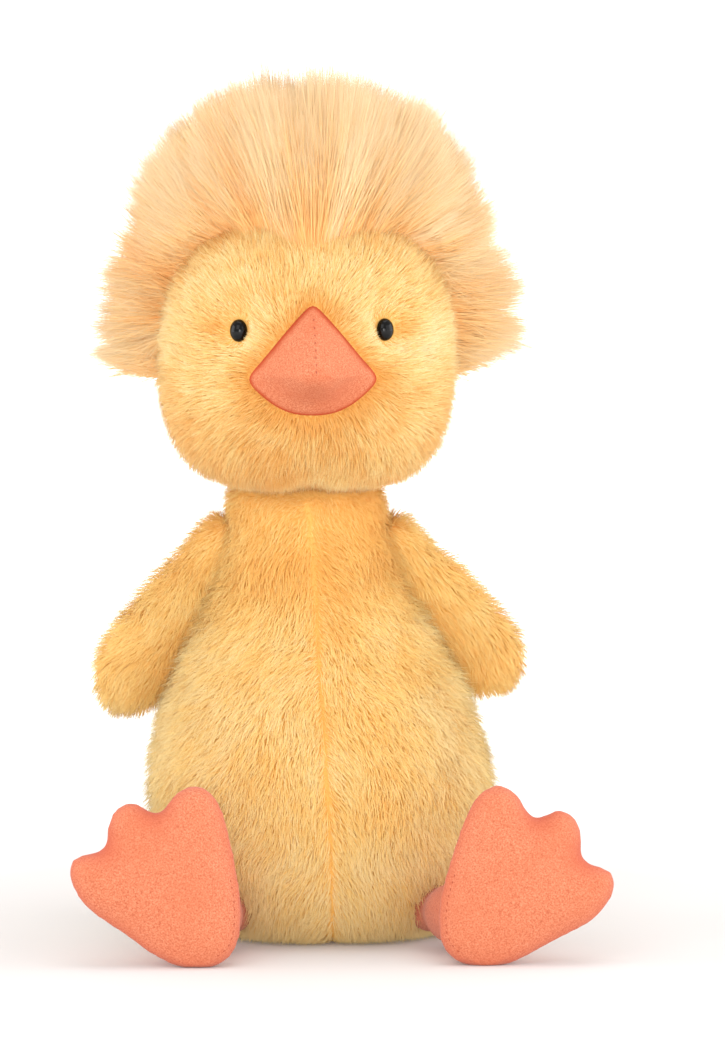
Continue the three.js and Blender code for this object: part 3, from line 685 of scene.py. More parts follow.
leg = {
    "hips": {"left": np.array([29.732, -28.438, 11.0]), "right": np.array([-30.849, -28.438, 11.0])},
    "turnOut": 21,
    "rows": [
        (-8.2, 0, 0), (-6.9, 4.4, 4.4), (-2.5, 7.6, 7.6), (3, 7.4, 7.4), (7.4, 6.5, 6.5), (13, 8.4, 8.4),
        (17, 9.1, 9.1), (25, 9.4, 9.4), (34, 9.4, 9.4), (41, 9.3, 9.3), (44, 7.0, 7.0), (44.8, 0, 0),
    ],
}
foot = {
    "height": 55, "outer": 38.6, "inner": 13, "halfThickness": 6.8,
    "tilt": 12, "outs": {"left": 40, "right": 42.2}, "ahead": 74, "rolls": {"left": 8, "right": 0}, "flat": 0.5,
    "edge": 15, "fullness": 2.5,
    "middle": (0.2, 0.47),
    "outline": [
        (0, 0), (0.19, 0.02), (0.37, 0.083), (0.55, 0.176), (0.72, 0.258), (0.85, 0.325), (0.95, 0.42), (1, 0.52),
        (0.97, 0.6), (0.87, 0.63), (0.76, 0.648), (0.71, 0.69), (0.7, 0.76), (0.67, 0.83), (0.59, 0.895),
        (0.48, 0.905), (0.38, 0.868), (0.31, 0.852), (0.24, 0.89), (0.16, 0.96), (0.03, 1), (-0.3, 0.965),
        (-0.58, 0.86), (-0.77, 0.69), (-0.92, 0.5), (-1, 0.33), (-0.96, 0.2), (-0.82, 0.095), (-0.5, 0.025),
    ],
    "valleys": [(0.345, 0.855), (0.75, 0.655)],
}


def legAxes(side):
    turn = math.radians(leg["turnOut"])
    return limbAxes(np.array([signs[side] * math.sin(turn), -math.cos(turn), 0]), np.array([0, 0, 1.0]))


def footFlat(shares):
    u, v = np.array(shares, float).T
    return np.stack([u * np.where(u > 0, foot["outer"], foot["inner"]), v * foot["height"]], axis=1)


footEdge = curveThrough(footFlat(foot["outline"]), 144, closed=True)
footMiddle = footFlat([foot["middle"]])[0]


# Stands flat points of a foot up at a depth: roll about the depth, lean back, then move out and forward
def footStand(side, flat, depth=0):
    roll = math.radians(foot["rolls"][side]) * signs[side]
    tilt = math.radians(-foot["tilt"])
    x, z = signs[side] * flat[:, 0], flat[:, 1]
    x, z = x * math.cos(roll) + z * math.sin(roll), -x * math.sin(roll) + z * math.cos(roll)
    y, z = depth * math.cos(tilt) - z * math.sin(tilt), depth * math.sin(tilt) + z * math.cos(tilt)
    return np.stack([x + signs[side] * foot["outs"][side], y - foot["ahead"], z - foot["flat"]], axis=1)


def footPlace(side):
    def place(share, turn, unit):
        step = np.round((turn / (2 * math.pi) % 1) * len(footEdge)).astype(int) % len(footEdge)
        edge = np.sin(share * math.pi) ** 0.9
        flat = footMiddle + (footEdge[step] - footMiddle) * edge[:, None]
        inside = np.minimum(distanceTo(flat, footEdge) / foot["edge"], 1)
        depth = foot["halfThickness"] * (1 - (1 - inside) ** foot["fullness"]) ** 0.5
        depth[edge > 0.9999] = 0
        points = footStand(side, flat, np.where(share > 0.5, depth, -depth))
        points[:, 2] = np.maximum(points[:, 2], 0)
        return points

    return place


legForms = {
    side: roundForm(f"leg{side.title()}Sleeve", 40, 32, limbPlace(leg["rows"], leg["hips"][side], legAxes(side)))
    for side in signs
}
footForms = {side: roundForm(f"foot{side.title()}Stuffed", len(footEdge), 40, footPlace(side)) for side in signs}
for side, form in footForms.items():

    def footSeam(points, rim=footStand(side, footEdge)):
        return fall(nearest(points, rim)[1], 1.3) + (points[:, 2] < 1)

    stuff(form, 1.5, 0.9, footSeam)

# Beak

beak = {
    "halfWidth": 19, "rise": 17.5, "drop": 15.5, "length": 22, "rootDepth": 8, "below": 1.5,
    "outline": [
        (0, 1), (0.14, 0.9), (0.42, 0.56), (0.7, 0.19), (0.94, -0.13), (1, -0.31), (0.9, -0.5), (0.63, -0.78),
        (0.34, -0.95),
    ],
}
beakCentre = headFront(0, -beak["below"])


def beakLoop(count):
    half = beak["outline"]
    u, v = curveThrough(half + [(0, -1)] + [(-u, v) for u, v in reversed(half[1:])], count, closed=True).T
    return np.stack([u * beak["halfWidth"], v * np.where(v > 0, beak["rise"], beak["drop"])], axis=1)


beakEdge = beakLoop(96)


def onBeak(points):
    return points[:, [0, 2]] - beakCentre[[0, 2]]


def beakPlace(share, turn, unit):
    step = np.round((turn / (2 * math.pi) % 1) * len(beakEdge)).astype(int) % len(beakEdge)
    edge = np.sin(share * math.pi) ** 1.1
    flat = beakEdge[step] * edge[:, None]
    low = ramp(flat[:, 1], 0, -4)
    upper = (1 - edge**1.35) ** 0.85
    under = ramp(edge, 0.08, 0.8)
    lower = 1 - 0.52 * under * under * (3 - 2 * under) - 0.48 * edge**1.7
    front = beak["length"] * (upper * (1 - low) + lower * low)
    depth = np.where(share > 0.5, -front, beak["rootDepth"] * (1 - edge**2))
    return beakCentre + np.stack([flat[:, 0], depth, flat[:, 1]], axis=1)


beakForm = roundForm("beakStuffed", len(beakEdge), 44, beakPlace)
print("duck: stuffed forms made")


# Painted shade at folds and turned edges, as an attribute that the suede reads
def setPaintedShade(thing, values):
    attribute = thing.data.attributes.new("fold", "FLOAT", "POINT")
    attribute.data.foreach_set("value", np.clip(values, 0, 1).astype(np.float32))


for side, form in footForms.items():
    points = pointsOf(form)
    valleys = footStand(side, footFlat(foot["valleys"]), -foot["halfThickness"] * 0.6)
    # painted shade along the foot's turned rim and in the valleys between its toes
    turned = 0.6 * fall(nearest(points, footStand(side, footEdge))[1], 3)
    setPaintedShade(form, turned + sum(0.6 * fall(sizeOf(points - valley), 6) for valley in valleys))
for form in legForms.values():
    # painted shade: the legs carry a quarter of the deep suede colour all over
    setPaintedShade(form, np.full(len(form.data.vertices), 0.25))
beakFlat = onBeak(pointsOf(beakForm))
# painted shade: a dark line where the beak's rim turns into the seam, and a darker patch on the panel under its tip
underTipShade = np.exp(-((beakFlat[:, 0] / 9) ** 2 + ((beakFlat[:, 1] + 7) / 4) ** 2))
rimWidth = 0.75 * vary(drift(pointsOf(beakForm), 2.2, 61), 0.3)
setPaintedShade(beakForm, 1.15 * fall(distanceTo(beakFlat, beakEdge), rimWidth) + 0.22 * underTipShade)

for side in signs:
    suede = (f"leg_{side}", "foot_suede", "footSuede")
    footNodes = [f"foot_{side}_{part}" for part in ("sole_panel", "top_panel", "stuffing")]
    dress(legForms[side], *suede, f"leg_{side}_sleeve", f"leg_{side}_stuffing", fill=0.7)
    dress(footForms[side], *suede, *footNodes, fill=0.9)
    dress(wingForms[side], f"wing_{side}", "body_plush", "bodyCloth", f"wing_{side}_stuffing", fill=0.8)
beakNodes = ["beak_upper_left_panel", "beak_upper_right_panel", "beak_lower_panel", "beak_stuffing"]
torsoNodes = ["seat_panel", "torso_stuffing", "bean_pouch", "bean_fill"]
dress(beakForm, "head", "beak_suede", "beakSuede", *beakNodes, fill=0.9)
dress(torsoForm, "torso", "body_plush", "bodyCloth", *torsoNodes, fill=0.85)
dress(headForm, "head", "body_plush", "bodyCloth", "head_stuffing", "crest_backing", fill=0.9)


# Pile: strands that taper to a point, a few facets each, rooted just under the cloth

# Roots all over a form, so many to a square millimetre, with their outward directions
def rootsOn(thing, look):
    rng = np.random.default_rng(look["seed"])
    mesh = thing.data
    mesh.calc_loop_triangles()
    corners = np.zeros(len(mesh.loop_triangles) * 3, np.int32)
    mesh.loop_triangles.foreach_get("vertices", corners)
    corners = corners.reshape(-1, 3)
    points, outs = pointsOf(thing), vertexValues(thing, "normal")
    a, b, c = (points[corners[:, i]] for i in range(3))
    walked = np.cumsum(sizeOf(np.cross(b - a, c - a)) / 2)
    count = int(walked[-1] * look["density"])
    at = (np.arange(count) + rng.random(count)) / count * walked[-1]
    chosen = np.minimum(np.searchsorted(walked, at), len(corners) - 1)
    u, v = rng.random((2, count))
    u, v = np.where(u + v > 1, 1 - u, u), np.where(u + v > 1, 1 - v, v)
    weights = np.stack([1 - u - v, u, v], axis=1)[:, :, None]
    return (points[corners[chosen]] * weights).sum(1), unitOf((outs[corners[chosen]] * weights).sum(1))


strand = {
    "bends": 2, "sunk": 0.25, "shortest": 0.3,
    "taper": 2.2, "least": 0.08,  # the tip's width as a share of the root's
    "toneWidth": 0.012,  # how far apart the sides of a strand lie in the map
    "ribbonLight": 0.15, "tubeSoftness": 0.5, "tubeLight": 0.4,
}
guardHair = {"length": 1.12, "lean": 0.62, "width": 0.75}  # shares of what the other strands have


# Strands bend over from the way they leave to their tips. A strand is a flat ribbon, or a tube with three sides
def strands(roots, leave, tips, outs, width, tone, look, tube):
    count, bends = len(roots), strand["bends"]
    t = np.linspace(0, 1, bends + 1)[None, :, None]
    reach = sizeOf(tips - roots)[:, None, None]
    start = leave[:, None, :] * reach
    end = 2 * (tips - roots)[:, None, :] - start
    line = roots[:, None, :] + start * (t - t**2 / 2) + end * t**2 / 2
    if "floor" in look:
        line[:, :, 2] = np.maximum(line[:, :, 2], look["floor"])
    along = unitOf(start * (1 - t) + end * t)
    side = unitOf(np.cross(along, outs[:, None, :]))
    flat = unitOf(np.cross(side, along))
    half = width[:, None, None] / 2 * ((1 - t ** strand["taper"]) * (1 - strand["least"]) + strand["least"])
    if tube:
        ways = [side + flat * 0.5, flat * 0.5 - side, -flat]
        soft, lit = look.get("tubeSoftness", strand["tubeSoftness"]), look.get("tipLight", strand["tubeLight"])
    else:
        ways = [-side, side]
        soft, lit = look["softness"], strand["ribbonLight"]
    each = len(ways) * bends + 1
    points, shine, places = np.empty((count, each, 3)), np.empty((count, each, 3)), np.empty((count, each, 2))
    places[:, :, 0] = tone[:, None]
    for i, way in enumerate(ways):
        mine = slice(i, len(ways) * bends, len(ways))
        points[:, mine] = (line + way * half)[:, :bends]
        turned = unitOf(way) if tube else flat
        shine[:, mine] = unitOf(outs[:, None, :] * soft + turned * (1 - soft) + along * lit * t * 2)[:, :bends]
        places[:, mine, 0] += strand["toneWidth"] * (i - (len(ways) - 1) / 2)
        places[:, mine, 1] = t[:, :bends, 0]
    points[:, -1] = line[:, bends]
    shine[:, -1] = unitOf(outs * soft + flat[:, bends] * (1 - soft) + along[:, bends] * lit * 2)
    places[:, -1, 1] = 1
    pattern = []
    last = len(ways) * (bends - 1)
    for i in range(len(ways) if tube else 1):
        k = (i + 1) % len(ways)
        for row in range(0, last, len(ways)):
            a, b, c, d = row + i, row + k, row + k + len(ways), row + i + len(ways)
            pattern += [(a, c, b), (a, d, c)] if tube else [(a, b, c), (a, c, d)]
        pattern.append((last + i, each - 1, last + k) if tube else (last + i, last + k, each - 1))
    faces = (np.arange(count)[:, None, None] * each + np.array(pattern)[None]).reshape(-1, 3)
    return points.reshape(-1, 3), shine.reshape(-1, 3), places.reshape(-1, 2), faces


def pileMesh(name, sets):
    offsets = np.cumsum([0] + [len(points) for points, _, _, _ in sets])
    points, shine, places = (np.concatenate([one[i] for one in sets]) for i in range(3))
    faces = np.concatenate([one[3] + offset for one, offset in zip(sets, offsets)])
    mesh = bpy.data.meshes.new(name)
    mesh.vertices.add(len(points))
    mesh.vertices.foreach_set("co", (points * mm).astype(np.float32).ravel())
    mesh.loops.add(faces.size)
    mesh.loops.foreach_set("vertex_index", faces.ravel().astype(np.int32))
    mesh.polygons.add(len(faces))
    mesh.polygons.foreach_set("loop_start", np.arange(0, faces.size, 3, dtype=np.int32))
    layer = mesh.uv_layers.new(name=mapName)
    mesh.update(calc_edges=True)
    layer.data.foreach_set("uv", np.clip(places, 0.004, 0.996)[faces.ravel()].astype(np.float32).ravel())
    mesh.polygons.foreach_set("use_smooth", np.ones(len(faces), bool))
    mesh.normals_split_custom_set_from_vertices(shine.astype(np.float32))
    made = bpy.data.objects.new(name, mesh)
    bpy.context.collection.objects.link(made)
    print("duck:", name, len(faces), "faces")
    return made


# Cuts pile into four pieces: each start of a name with its slot, those ahead first, and then the sides
def quarters(starts, ahead, aside):
    return [
        (f"{start}{side.title()}Pile", slot, here & (aside * sign >= 0))
        for (start, slot), here in zip(starts.items(), (ahead, ~ahead))
        for side, sign in signs.items()
    ]


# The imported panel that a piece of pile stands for, where there is one
def panelsOf(name):
    words = "".join("_" + c.lower() if c.isupper() else c for c in name)
    return [node for node in [words.replace("_pile", "_panel")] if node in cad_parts]


# Lays pile on a cloth form. comb gives the way it lies, trim its length at each root, and cut its pieces
def growPile(thing, look, comb, trim, tint, cut):
    rng = np.random.default_rng(look["seed"])
    seed = look["seed"]
    roots, outs = rootsOn(thing, look)
    length = trim(roots, outs) * look["length"]
    kept = length > strand["shortest"]
    roots, outs, length = roots[kept], outs[kept], length[kept]
    count = len(roots)
    length = length * vary(rng.random(count), 0.14) * vary(drift(roots, 3.2, seed + 5), 0.12)
    lie = unitOf(comb(roots, outs))
    lie = lie - outs * (lie * outs).sum(1)[:, None]
    laid = np.clip(sizeOf(lie) * 1.2, 0, 1)
    if "least" in look:  # where the comb runs straight out, tufts fall their own way
        own = np.stack([sway(roots, 8, seed + i) for i in (7, 8, 9)], axis=1)
        lie = lie + unitOf(own - outs * (own * outs).sum(1)[:, None]) * 0.5 * (1 - laid)[:, None]
        laid = np.maximum(laid, look["least"])
    lie = unitOf(lie)
    turn = (sway(roots, 11, seed + 1) * 2 + sway(roots, 4, seed + 2)) * math.radians(look["swirl"])
    lie = lie * np.cos(turn)[:, None] + np.cross(outs, lie) * np.sin(turn)[:, None]
    guard = rng.random(count) < look["guard"]
    lean = np.radians(look["lean"] + 16 * sway(roots, 6, seed + 3) + 14 * (rng.random(count) - 0.5))
    lean = lean * laid * np.where(guard, guardHair["lean"], 1)
    length = length * np.where(guard, guardHair["length"], 1)
    way = outs * np.cos(lean)[:, None] + lie * np.sin(lean)[:, None]
    way = unitOf(way + rng.normal(0, look["stray"], roots.shape))
    tips = roots + way * length[:, None]
    centres = rng.permutation(count)[: max(1, int(count * look["clumps"]))]
    owner = centres[nearest(roots, roots[centres])[0]]
    pull = look["pull"] * vary(rng.random(count), 0.5)[:, None]
    tips = tips * (1 - pull) + tips[owner] * pull
    if "floor" in look:
        tips[:, 2] = np.maximum(tips[:, 2], look["floor"])
    # tint is added to the tone: on the torso, wings and face it is painted shade and light
    tone = 0.5 + 0.5 * sway(roots, 14, seed + 4) + 0.35 * sway(roots, 3, seed + 6) + tint(roots)
    tone = np.clip(tone + rng.normal(0, 0.16, count), 0.02, 0.98)
    width = look["width"] * vary(rng.random(count), 0.25) * np.where(guard, guardHair["width"], 1)
    leave = unitOf(outs * 0.8 + way * 0.6)
    roots = roots - outs * strand["sunk"]
    for name, slot, mine in cut(roots):
        sets = [
            strands(roots[some], leave[some], tips[some], outs[some], width[some], tone[some], look, tube)
            for some, tube in ((mine & ~guard, False), (mine & guard, True))
        ]
        dress(pileMesh(name, sets), look["body"], slot, look["finish"], *panelsOf(name))


# density is strands to a square millimetre, guard the share of them that are tubes, and seed starts their draws
pile = {
    "torso": {
        "seed": 11, "density": 3.5, "length": 6.4, "width": 0.27, "lean": 65, "swirl": 30, "stray": 0.17,
        "clumps": 0.08, "pull": 0.12, "softness": 0.9, "guard": 0.24, "floor": 0.2,
        "body": "torso", "finish": "bodyPile",
    },
    "wing": {
        "seed": 31, "density": 5, "length": 7, "width": 0.27, "lean": 60, "swirl": 30, "stray": 0.17,
        "clumps": 0.08, "pull": 0.14, "softness": 0.9, "guard": 0.26, "finish": "bodyPile",
    },
    "head": {
        "seed": 51, "density": 5.1, "length": 5.8, "width": 0.26, "lean": 66, "swirl": 28, "stray": 0.16,
        "clumps": 0.08, "pull": 0.1, "softness": 0.9, "guard": 0.22, "body": "head", "finish": "facePile",
    },
    "crest": {
        "seed": 91, "density": 4.5, "length": 16, "width": 0.22, "lean": 70, "least": 0.45, "swirl": 14,
        "stray": 0.08, "clumps": 0.025, "pull": 0.3, "softness": 0.8, "tubeSoftness": 0.6, "tipLight": 0.75,
        "guard": 1, "body": "head", "finish": "crestPile",
    },
}


# Torso pile hangs down and parts at the front and back seams
def torsoComb(points, outs):
    aside = points[:, 0] - torsoMiddle(points[:, 2])
    across = np.sign(aside) * 0.6 * np.exp(-np.abs(aside) / 12) + aside * 0.004
    return across[:, None] * np.array([1, 0, 0]) + down + outs * 0.001


def torsoTrim(points, outs):
    height = points[:, 2]
    length = 0.62 + 0.38 * ramp(np.abs(points[:, 0] - torsoMiddle(height)), 0, 4)
    length *= 1 - 0.15 * ramp(height, 95, 125) - 0.3 * ramp(height, 116, 128)
    length[height > 134] = 0
    length[(height < 0.5) & (outs[:, 2] < -0.9)] *= 0.5
    for side in signs:
        along = wingAxes(side)[0]
        away = points - wing["shoulders"][side]
        off = sizeOf(away - (away @ along)[:, None] * along)
        length[(off < 4.5) & (np.abs(away @ along) < 14)] = 0
        length[sizeOf(points - leg["hips"][side]) < 6.5] = 0
    return length


# Painted shade and light: deeper gold at the neck, in the head's shade; paler sides, a painted sheen at the edges;
# and a paler foot, lifting the shade low on the belly
def torsoPaintedShadeAndLight(points):
    tint = 0.04 - 0.45 * ramp(points[:, 2], 92, 116) + 0.35 * ramp(np.abs(points[:, 0]), 20, 40)
    return tint + 0.45 * ramp(points[:, 2], 50, 0)


def torsoCut(points):
    starts = {"torsoFront": "body_plush", "torsoBack": "body_plush"}
    return quarters(starts, points[:, 1] <= 0, points[:, 0] - torsoMiddle(points[:, 2]))


growPile(torsoForm, pile["torso"], torsoComb, torsoTrim, torsoPaintedShadeAndLight, torsoCut)

for side in signs:
    along, across, through = wingAxes(side)
    shoulder = wing["shoulders"][side]
    look = dict(pile["wing"], seed=pile["wing"]["seed"] + signs[side], body=f"wing_{side}")
    ahead = through if through[1] < 0 else -through

    def wingComb(points, outs, along=along):
        return np.tile(along, (len(points), 1)) + down * 0.35

    def wingTrim(points, outs, along=along, shoulder=shoulder):
        distance = (points - shoulder) @ along
        return np.where(distance < -6.5, 0, ramp(distance, 0, 14) * 0.35 + 0.65)

    def wingCut(points, start=f"wing{side.title()}", ahead=ahead, shoulder=shoulder):
        front = (points - shoulder) @ ahead >= 0
        return [(f"{start}FrontPile", "body_plush", front), (f"{start}BackPile", "body_plush", ~front)]

    # Painted shade: the wing's pile is tinted a little deeper gold all over than the torso's
    growPile(wingForms[side], look, wingComb, wingTrim, lambda points: -0.12, wingCut)


# Painted shade on the face: deeper gold in the hollow on the outer side of each eye, close round the beak and towards
# the chin, and a little paler below each eye's inner side
def faceTintWithPaintedShade(points):
    tint = np.zeros(len(points))
    for side, point in eyePoints.items():
        outer = point + np.array([signs[side] * 5.5, 1.5, 0.5])
        inner = point + np.array([-signs[side] * 5, 0, -4])
        tint += 0.25 * fall(sizeOf(points - inner), 5) - 0.9 * fall(sizeOf(points - outer), 4)
    tint -= 0.4 * fall(distanceTo(onBeak(points), beakEdge), 3) * (points[:, 1] < -15)
    return tint - 0.3 * ramp(points[:, 2], headZ + 2, headZ - 22)


def headComb(points, outs):
    behind = ramp(points[:, 1], -12, 2)[:, None]
    under = ramp(points[:, 2], headZ - 22, headZ - 34)[:, None]
    radiating = unitOf(points - (beakCentre + np.array([0, 6, -2])))
    combed = radiating * (1 - behind) + np.array([0, 0.1, -1.0]) * behind
    combed = combed * (1 - under * 0.7) + down * under
    for point in eyePoints.values():
        near = np.exp(-(sizeOf(points - point) / 5.5) ** 4)[:, None]
        combed = combed * (1 - near) + unitOf(points - point) * near
    return combed


def headTrim(points, outs):
    length = np.where(onCrest(points), 0, 1.0)
    flat = onBeak(points)
    rim = distanceTo(flat, beakEdge)
    inside = np.zeros(len(points), bool)
    x, y = flat.T
    for (ax, ay), (bx, by) in zip(beakEdge, np.roll(beakEdge, -1, axis=0)):
        inside ^= ((ay > y) != (by > y)) & (x < (bx - ax) * (y - ay) / (by - ay + 1e-12) + ax)
    front = points[:, 1] < -15
    length[front & inside & (rim > 0.4)] = 0
    length *= np.where(front, np.clip(0.62 + rim / 9, 0, 1), 1)
    eyeHole = 3.2
    for point in eyePoints.values():
        away = sizeOf((points - point) * np.array([1, 1, 0.84]))
        length *= np.where(away < eyeHole, 0, np.clip(0.26 + (away - eyeHole) / 9, 0, 1))
    neck = sizeOf(points[:, :2] - head["centre"][:2])
    length[(outs[:, 2] < -0.75) & (neck < 19)] = 0
    length *= 1 - 0.4 * ramp(outs[:, 2], -0.6, -0.9) * ramp(neck, 34, 26)
    return length * (1 + 0.25 * fall(outs[:, 2] + 0.45, 0.25) * (points[:, 1] < -10))


def headCut(points):
    return quarters({"face": "face_plush", "headBack": "body_plush"}, hairShare(points) <= 0, points[:, 0] - headX)


growPile(headForm, pile["head"], headComb, headTrim, faceTintWithPaintedShade, headCut)


# Crest: long strands that fan out from the band round the head, over a thick bed of shorter ones

crest = {
    "seed": 71, "density": 23, "width": 0.22, "tubeSoftness": 0.6, "tipLight": 0.75,
    "reach": [  # angle from straight up, and how far the crest reaches from the head's middle
        (0, 88), (15, 89), (23, 88.5), (36, 82.5), (47, 76.5), (57, 72), (67, 68.5), (79, 69), (90, 68.5),
        (100, 65), (180, 61),
    ],
    "rows": [(0, 1), (0.2, 1), (0.34, 0.12), (0.7, 0.12), (0.8, 0.5), (1, 0.5)],  # thickness, front to back
    "lean": 9, "frontTip": -15, "backTip": 27, "farthest": (47, 269.5), "lowest": -4,
    "swept": (35, 80, 11),  # the angles between which strands start to lie back, and how far
    "ragged": (0.78, 0.14, 0.1, 0.085),  # the least reach, two sizes of drift and the spread
    "wisps": (0.22, 0.08, 0.26),  # their share, mean extra reach and most
    "locks": [(0.0025, 0.3), (0.05, 0.34)],  # how many to a strand, and how strongly they pull
    "loose": (0.35, (3.0, 6.0, 3.0)),
    "frontShare": 0.42,
    "bed": {"inset": 24, "halfDepth": 18, "shift": 3, "squareness": 2.3, "ends": (82, 100), "hidden": 24},
}


def crestReach(angle):
    return np.interp(np.degrees(np.abs(angle)), *np.array(crest["reach"]).T)


def crestAngle(away):
    return np.arctan2(away[:, 0], away[:, 2])


def sweptBack(angle):
    return ramp(np.degrees(np.abs(angle)), *crest["swept"][:2])


# From the head's middle, at an angle, reach and depth, to a place in the crest, which leans forward
def crestPlace(angle, reach, depth):
    return np.stack([np.sin(angle) * reach, depth, np.cos(angle) * reach], axis=1)


def leanForward(points):
    points[:, 1] -= np.maximum(points[:, 2], 0) * math.sin(math.radians(crest["lean"]))
    return points + head["centre"]


# Streaks of deeper and paler colour run out along the strands
def streak(points):
    away = points - head["centre"]
    far = np.hypot(away[:, 0], away[:, 2])
    spots = np.stack([crestAngle(away) * 55, away[:, 1] * 0.3, far * 0.12], axis=1)
    tone = 0.6 * sway(spots, 4.5, 84) + 0.4 * sway(spots, 12, 85) + 0.12
    return tone - 0.2 * ramp(far, 62, 38) - 0.1 * ramp(away[:, 0], 0, -40)


def growCrest():
    rng = np.random.default_rng(crest["seed"])
    roots, outs = rootsOn(headForm, crest)
    thick = np.interp(hairShare(roots), *np.array(crest["rows"]).T)
    mine = onCrest(roots) & (rng.random(len(roots)) < thick)
    roots, outs = roots[mine], outs[mine]
    count = len(roots)
    share = hairShare(roots)
    angle = crestAngle(roots - head["centre"])
    angle = angle * (1 + 0.03 * np.abs(angle)) + sway(roots, 9, 81) * 0.2 + rng.normal(0, 0.035, count)

    least, small, broad, spray = crest["ragged"]
    ragged = least + small * drift(roots, 4.5, 82) + broad * drift(roots, 12, 86) + rng.normal(0, spray, count)
    many, extra, most = crest["wisps"]
    wisps = rng.random(count) < many
    ragged += np.where(wisps, np.minimum(rng.exponential(extra, count), most), 0)
    ragged = np.minimum(ragged, 1.08 + 0.02 * rng.random(count))
    reach = crestReach(angle) * ragged * (1 - 0.2 * (np.abs(share - 0.45) * 2) ** 2.2)
    border = roots[:, 2] - (headZ - hair["drop"])
    shorter = np.clip(0.7 + share * 2.5, 0, 1) * np.clip(0.62 + border / 14, 0, 1)
    reach = head["halfWidth"] + (reach - head["halfWidth"]) * shorter

    swept = sweptBack(angle)
    depth = crest["frontTip"] + (crest["backTip"] - crest["frontTip"]) * share + sway(roots, 7, 83) * 12
    tips = crestPlace(angle, reach, depth + crest["swept"][2] * swept * (1.25 - share))
    tips[:, 2] -= 6 * ramp(border, 9, 0)
    low = crest["lowest"] - tips[:, 2]
    tips[:, 2] += np.where(low > 0, low * 0.8, 0)
    tips = leanForward(tips) + rng.normal(0, 1.6, tips.shape)
    order = rng.permutation(count)
    for part, pull in crest["locks"]:
        centres = order[: int(count * part)]
        owner = centres[nearest(roots, roots[centres])[0]]
        strength = pull * ((0.35 + 1.1 * rng.random(count)) * (1 + 0.8 * swept))[:, None]
        tips = tips * (1 - strength) + (tips[owner] + (roots - roots[owner]) * 0.25) * strength
    many, strays = crest["loose"]
    loose = rng.random(count) < many
    tips += np.where(loose[:, None], rng.normal(0, 1, tips.shape) * np.array(strays), 0)
    beyond = tips[:, 1:] - np.array(crest["farthest"])
    tips[:, 1:] -= np.where(beyond > 0, beyond * 0.9, 0)

    straight = unitOf(tips - roots)
    leave = unitOf(outs * 0.55 + straight + rng.normal(0, 0.08, tips.shape))
    tone = np.clip(0.5 + streak(roots + straight * 12) + rng.normal(0, 0.12, count), 0.02, 0.98)
    width = crest["width"] * vary(rng.random(count), 0.3) * np.where(wisps, 0.85, 1)
    facing = outs * (0.55 + 0.6 * swept[:, None])
    facing[:, 1] -= np.cos(share * math.pi)
    facing = unitOf(facing + rng.normal(0, 0.3, facing.shape))
    roots = roots - outs * 0.3
    starts = {"crestFront": "crest_pile", "crestBack": "crest_pile"}
    for name, slot, some in quarters(starts, share < crest["frontShare"], roots[:, 0] - headX):
        given = (values[some] for values in (roots, leave, tips, facing, width, tone))
        dress(pileMesh(name, [strands(*given, crest, True)]), "head", slot, "crestPile")


def crestBedPlace(share, turn, unit):
    bed = crest["bed"]
    level, power = np.hypot(unit[:, 0], unit[:, 2]), bed["squareness"]
    grow = (level**power + np.abs(unit[:, 1]) ** power) ** (-1 / power)
    angle = crestAngle(unit)
    ended = ramp(np.degrees(np.abs(angle)), *bed["ends"])
    reach = (crestReach(angle) - bed["inset"]) * (1 - ended) + bed["hidden"] * ended
    return leanForward(crestPlace(angle, reach * level * grow, bed["shift"] + bed["halfDepth"] * unit[:, 1] * grow))


def crestComb(points, outs):
    away = (points - head["centre"]) * np.array([1, 0, 1])
    return unitOf(away) + np.array([0, 0.9, -0.35]) * sweptBack(crestAngle(away))[:, None]


def crestTrim(points, outs):
    away = points - head["centre"]
    inside = sizeOf(away) < headReach(unitOf(away)) + 0.5
    length = vary(drift(points, 5, 95), 0.15)
    length[inside | (np.degrees(np.abs(crestAngle(away))) > crest["bed"]["ends"][1])] = 0
    return length


def crestCut(points):
    starts = {"crestBedFront": "crest_pile", "crestBedBack": "crest_pile"}
    return quarters(starts, points[:, 1] <= crest["bed"]["shift"], points[:, 0] - headX)


growCrest()
crestBed = roundForm("crestBed", 96, 48, crestBedPlace)
dress(crestBed, "head", "crest_pile", "crestCloth", "crest_pile", fill=0.5)
growPile(crestBed, pile["crest"], crestComb, crestTrim, streak, crestCut)

# Eyes: glossy domes sunk in the face

eye = {"halfWidth": 2.75, "halfHeight": 3.4, "front": 2.4, "back": 1.2, "sunk": 1.0}
for side, point in eyePoints.items():
    out = eyeOuts[side]
    level = unitOf(np.cross(np.array([0, 0, 1.0]), out))

    def eyePlace(share, turn, unit, middle=point - out * eye["sunk"], out=out, level=level, up=np.cross(out, level)):
        x, y, z = unit.T[:, :, None]
        rise = z * np.where(z > 0, eye["front"], eye["back"])
        return middle + x * eye["halfWidth"] * level + y * eye["halfHeight"] * up + rise * out

    dress(roundForm(f"eye{side.title()}Dome", 40, 24, eyePlace), "head", "eye_plastic", "eyePlastic", f"eye_{side}")
    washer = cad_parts[f"eye_washer_{side}"]
    washer.data.materials.clear()
    washer.data.materials.append(finishes["washerPlastic"])


# A thread ring in a seam takes its middle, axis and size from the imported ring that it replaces
def threadRing(name, body):
    node = body + "_stitching"
    points = pointsOf(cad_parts[node])
    middle = (points.max(0) + points.min(0)) / 2 if body == "neck" else points.mean(0)
    axis = np.linalg.svd(points - points.mean(0), full_matrices=False)[2][2]
    reach = sizeOf((points - middle) - ((points - middle) @ axis)[:, None] * axis).mean()
    sizes = {"major_radius": reach * mm, "minor_radius": 0.5 * mm, "major_segments": 64, "minor_segments": 8}
    ring = added(bpy.ops.mesh.primitive_torus_add, name, **sizes)
    turn = Vector((0, 0, 1)).rotation_difference(Vector(axis)).to_matrix().to_4x4()
    turn.translation = Vector(middle) * mm
    ring.data.transform(turn)
    ring.matrix_world.identity()
    bpy.ops.object.shade_smooth()
    dress(ring, body, "thread", "seamThread", node)


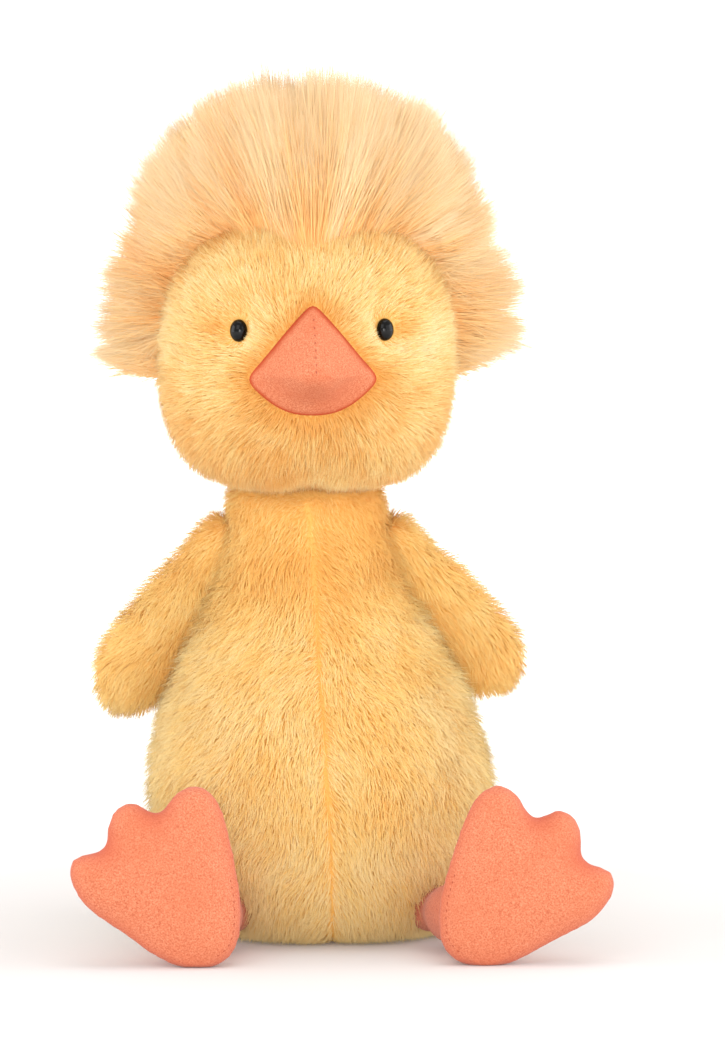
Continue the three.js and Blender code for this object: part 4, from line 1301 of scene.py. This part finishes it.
threadRing("neckThread", "neck")
for joint in ("shoulder", "hip"):
    for side in signs:
        threadRing(f"{joint}{side.title()}Thread", f"{joint}_{side}")


# Stitches: short loops of thread, half sunk in the suede
def stitchRow(name, body, places, ways, outs, size):
    parts = []
    for place, way, out in zip(places, ways, outs):
        stitch = added(bpy.ops.mesh.primitive_uv_sphere_add, name, segments=10, ring_count=6, radius=1)
        x, y, z = (pointsOf(stitch) * mm).T[:, :, None]
        setPoints(stitch, place + x * size[0] * way + y * size[1] * np.cross(way, out) + z * size[1] * out)
        bpy.ops.object.shade_smooth()
        parts.append(stitch)
    for part in parts:
        part.select_set(True)
    bpy.context.view_layer.objects.active = parts[0]
    bpy.ops.object.join()
    sortFaces(parts[0])
    dress(parts[0], body, "thread", "thread")


def castOn(thing, start, way):
    hit, place, out, _ = thing.ray_cast(Vector(start) * mm, Vector(way))
    return (np.array(place) / mm, np.array(out)) if hit else None


stitches = {
    "beakRises": (14.2, 0.5, 8),  # from, to and how many
    "beakSize": (0.5, 0.2),
    "footSteps": range(116, 139, 2),
    "footInset": 2.6,
    "footSize": (0.45, 0.16),
    "away": 40,  # where the search for the cloth starts, before the foot
}
bpy.context.view_layer.update()
found = [
    castOn(beakForm, beakCentre + np.array([0, -60, rise]), (0, 1, 0)) for rise in np.linspace(*stitches["beakRises"])
]
places, outs = zip(*found)
ways = [unitOf(np.cross(out, np.array([1.0, 0, 0]))) for out in outs]
stitchRow("beakStitches", "head", places, ways, outs, stitches["beakSize"])

for side in signs:
    steps = np.array(stitches["footSteps"])
    edge, following = footEdge[steps], footEdge[steps + 1]
    spots = edge + unitOf(footMiddle - edge) * stitches["footInset"]
    starts = footStand(side, spots, -stitches["away"])
    inward = unitOf(footStand(side, spots) - starts)
    ahead = unitOf(footStand(side, following) - footStand(side, edge))
    found = [(castOn(footForms[side], start, way), run) for start, way, run in zip(starts, inward, ahead)]
    places, outs, ways = zip(*[(*hit, run) for hit, run in found if hit])
    stitchRow(f"foot{side.title()}Stitches", f"leg_{side}", places, ways, outs, stitches["footSize"])
print("duck: seams stitched")
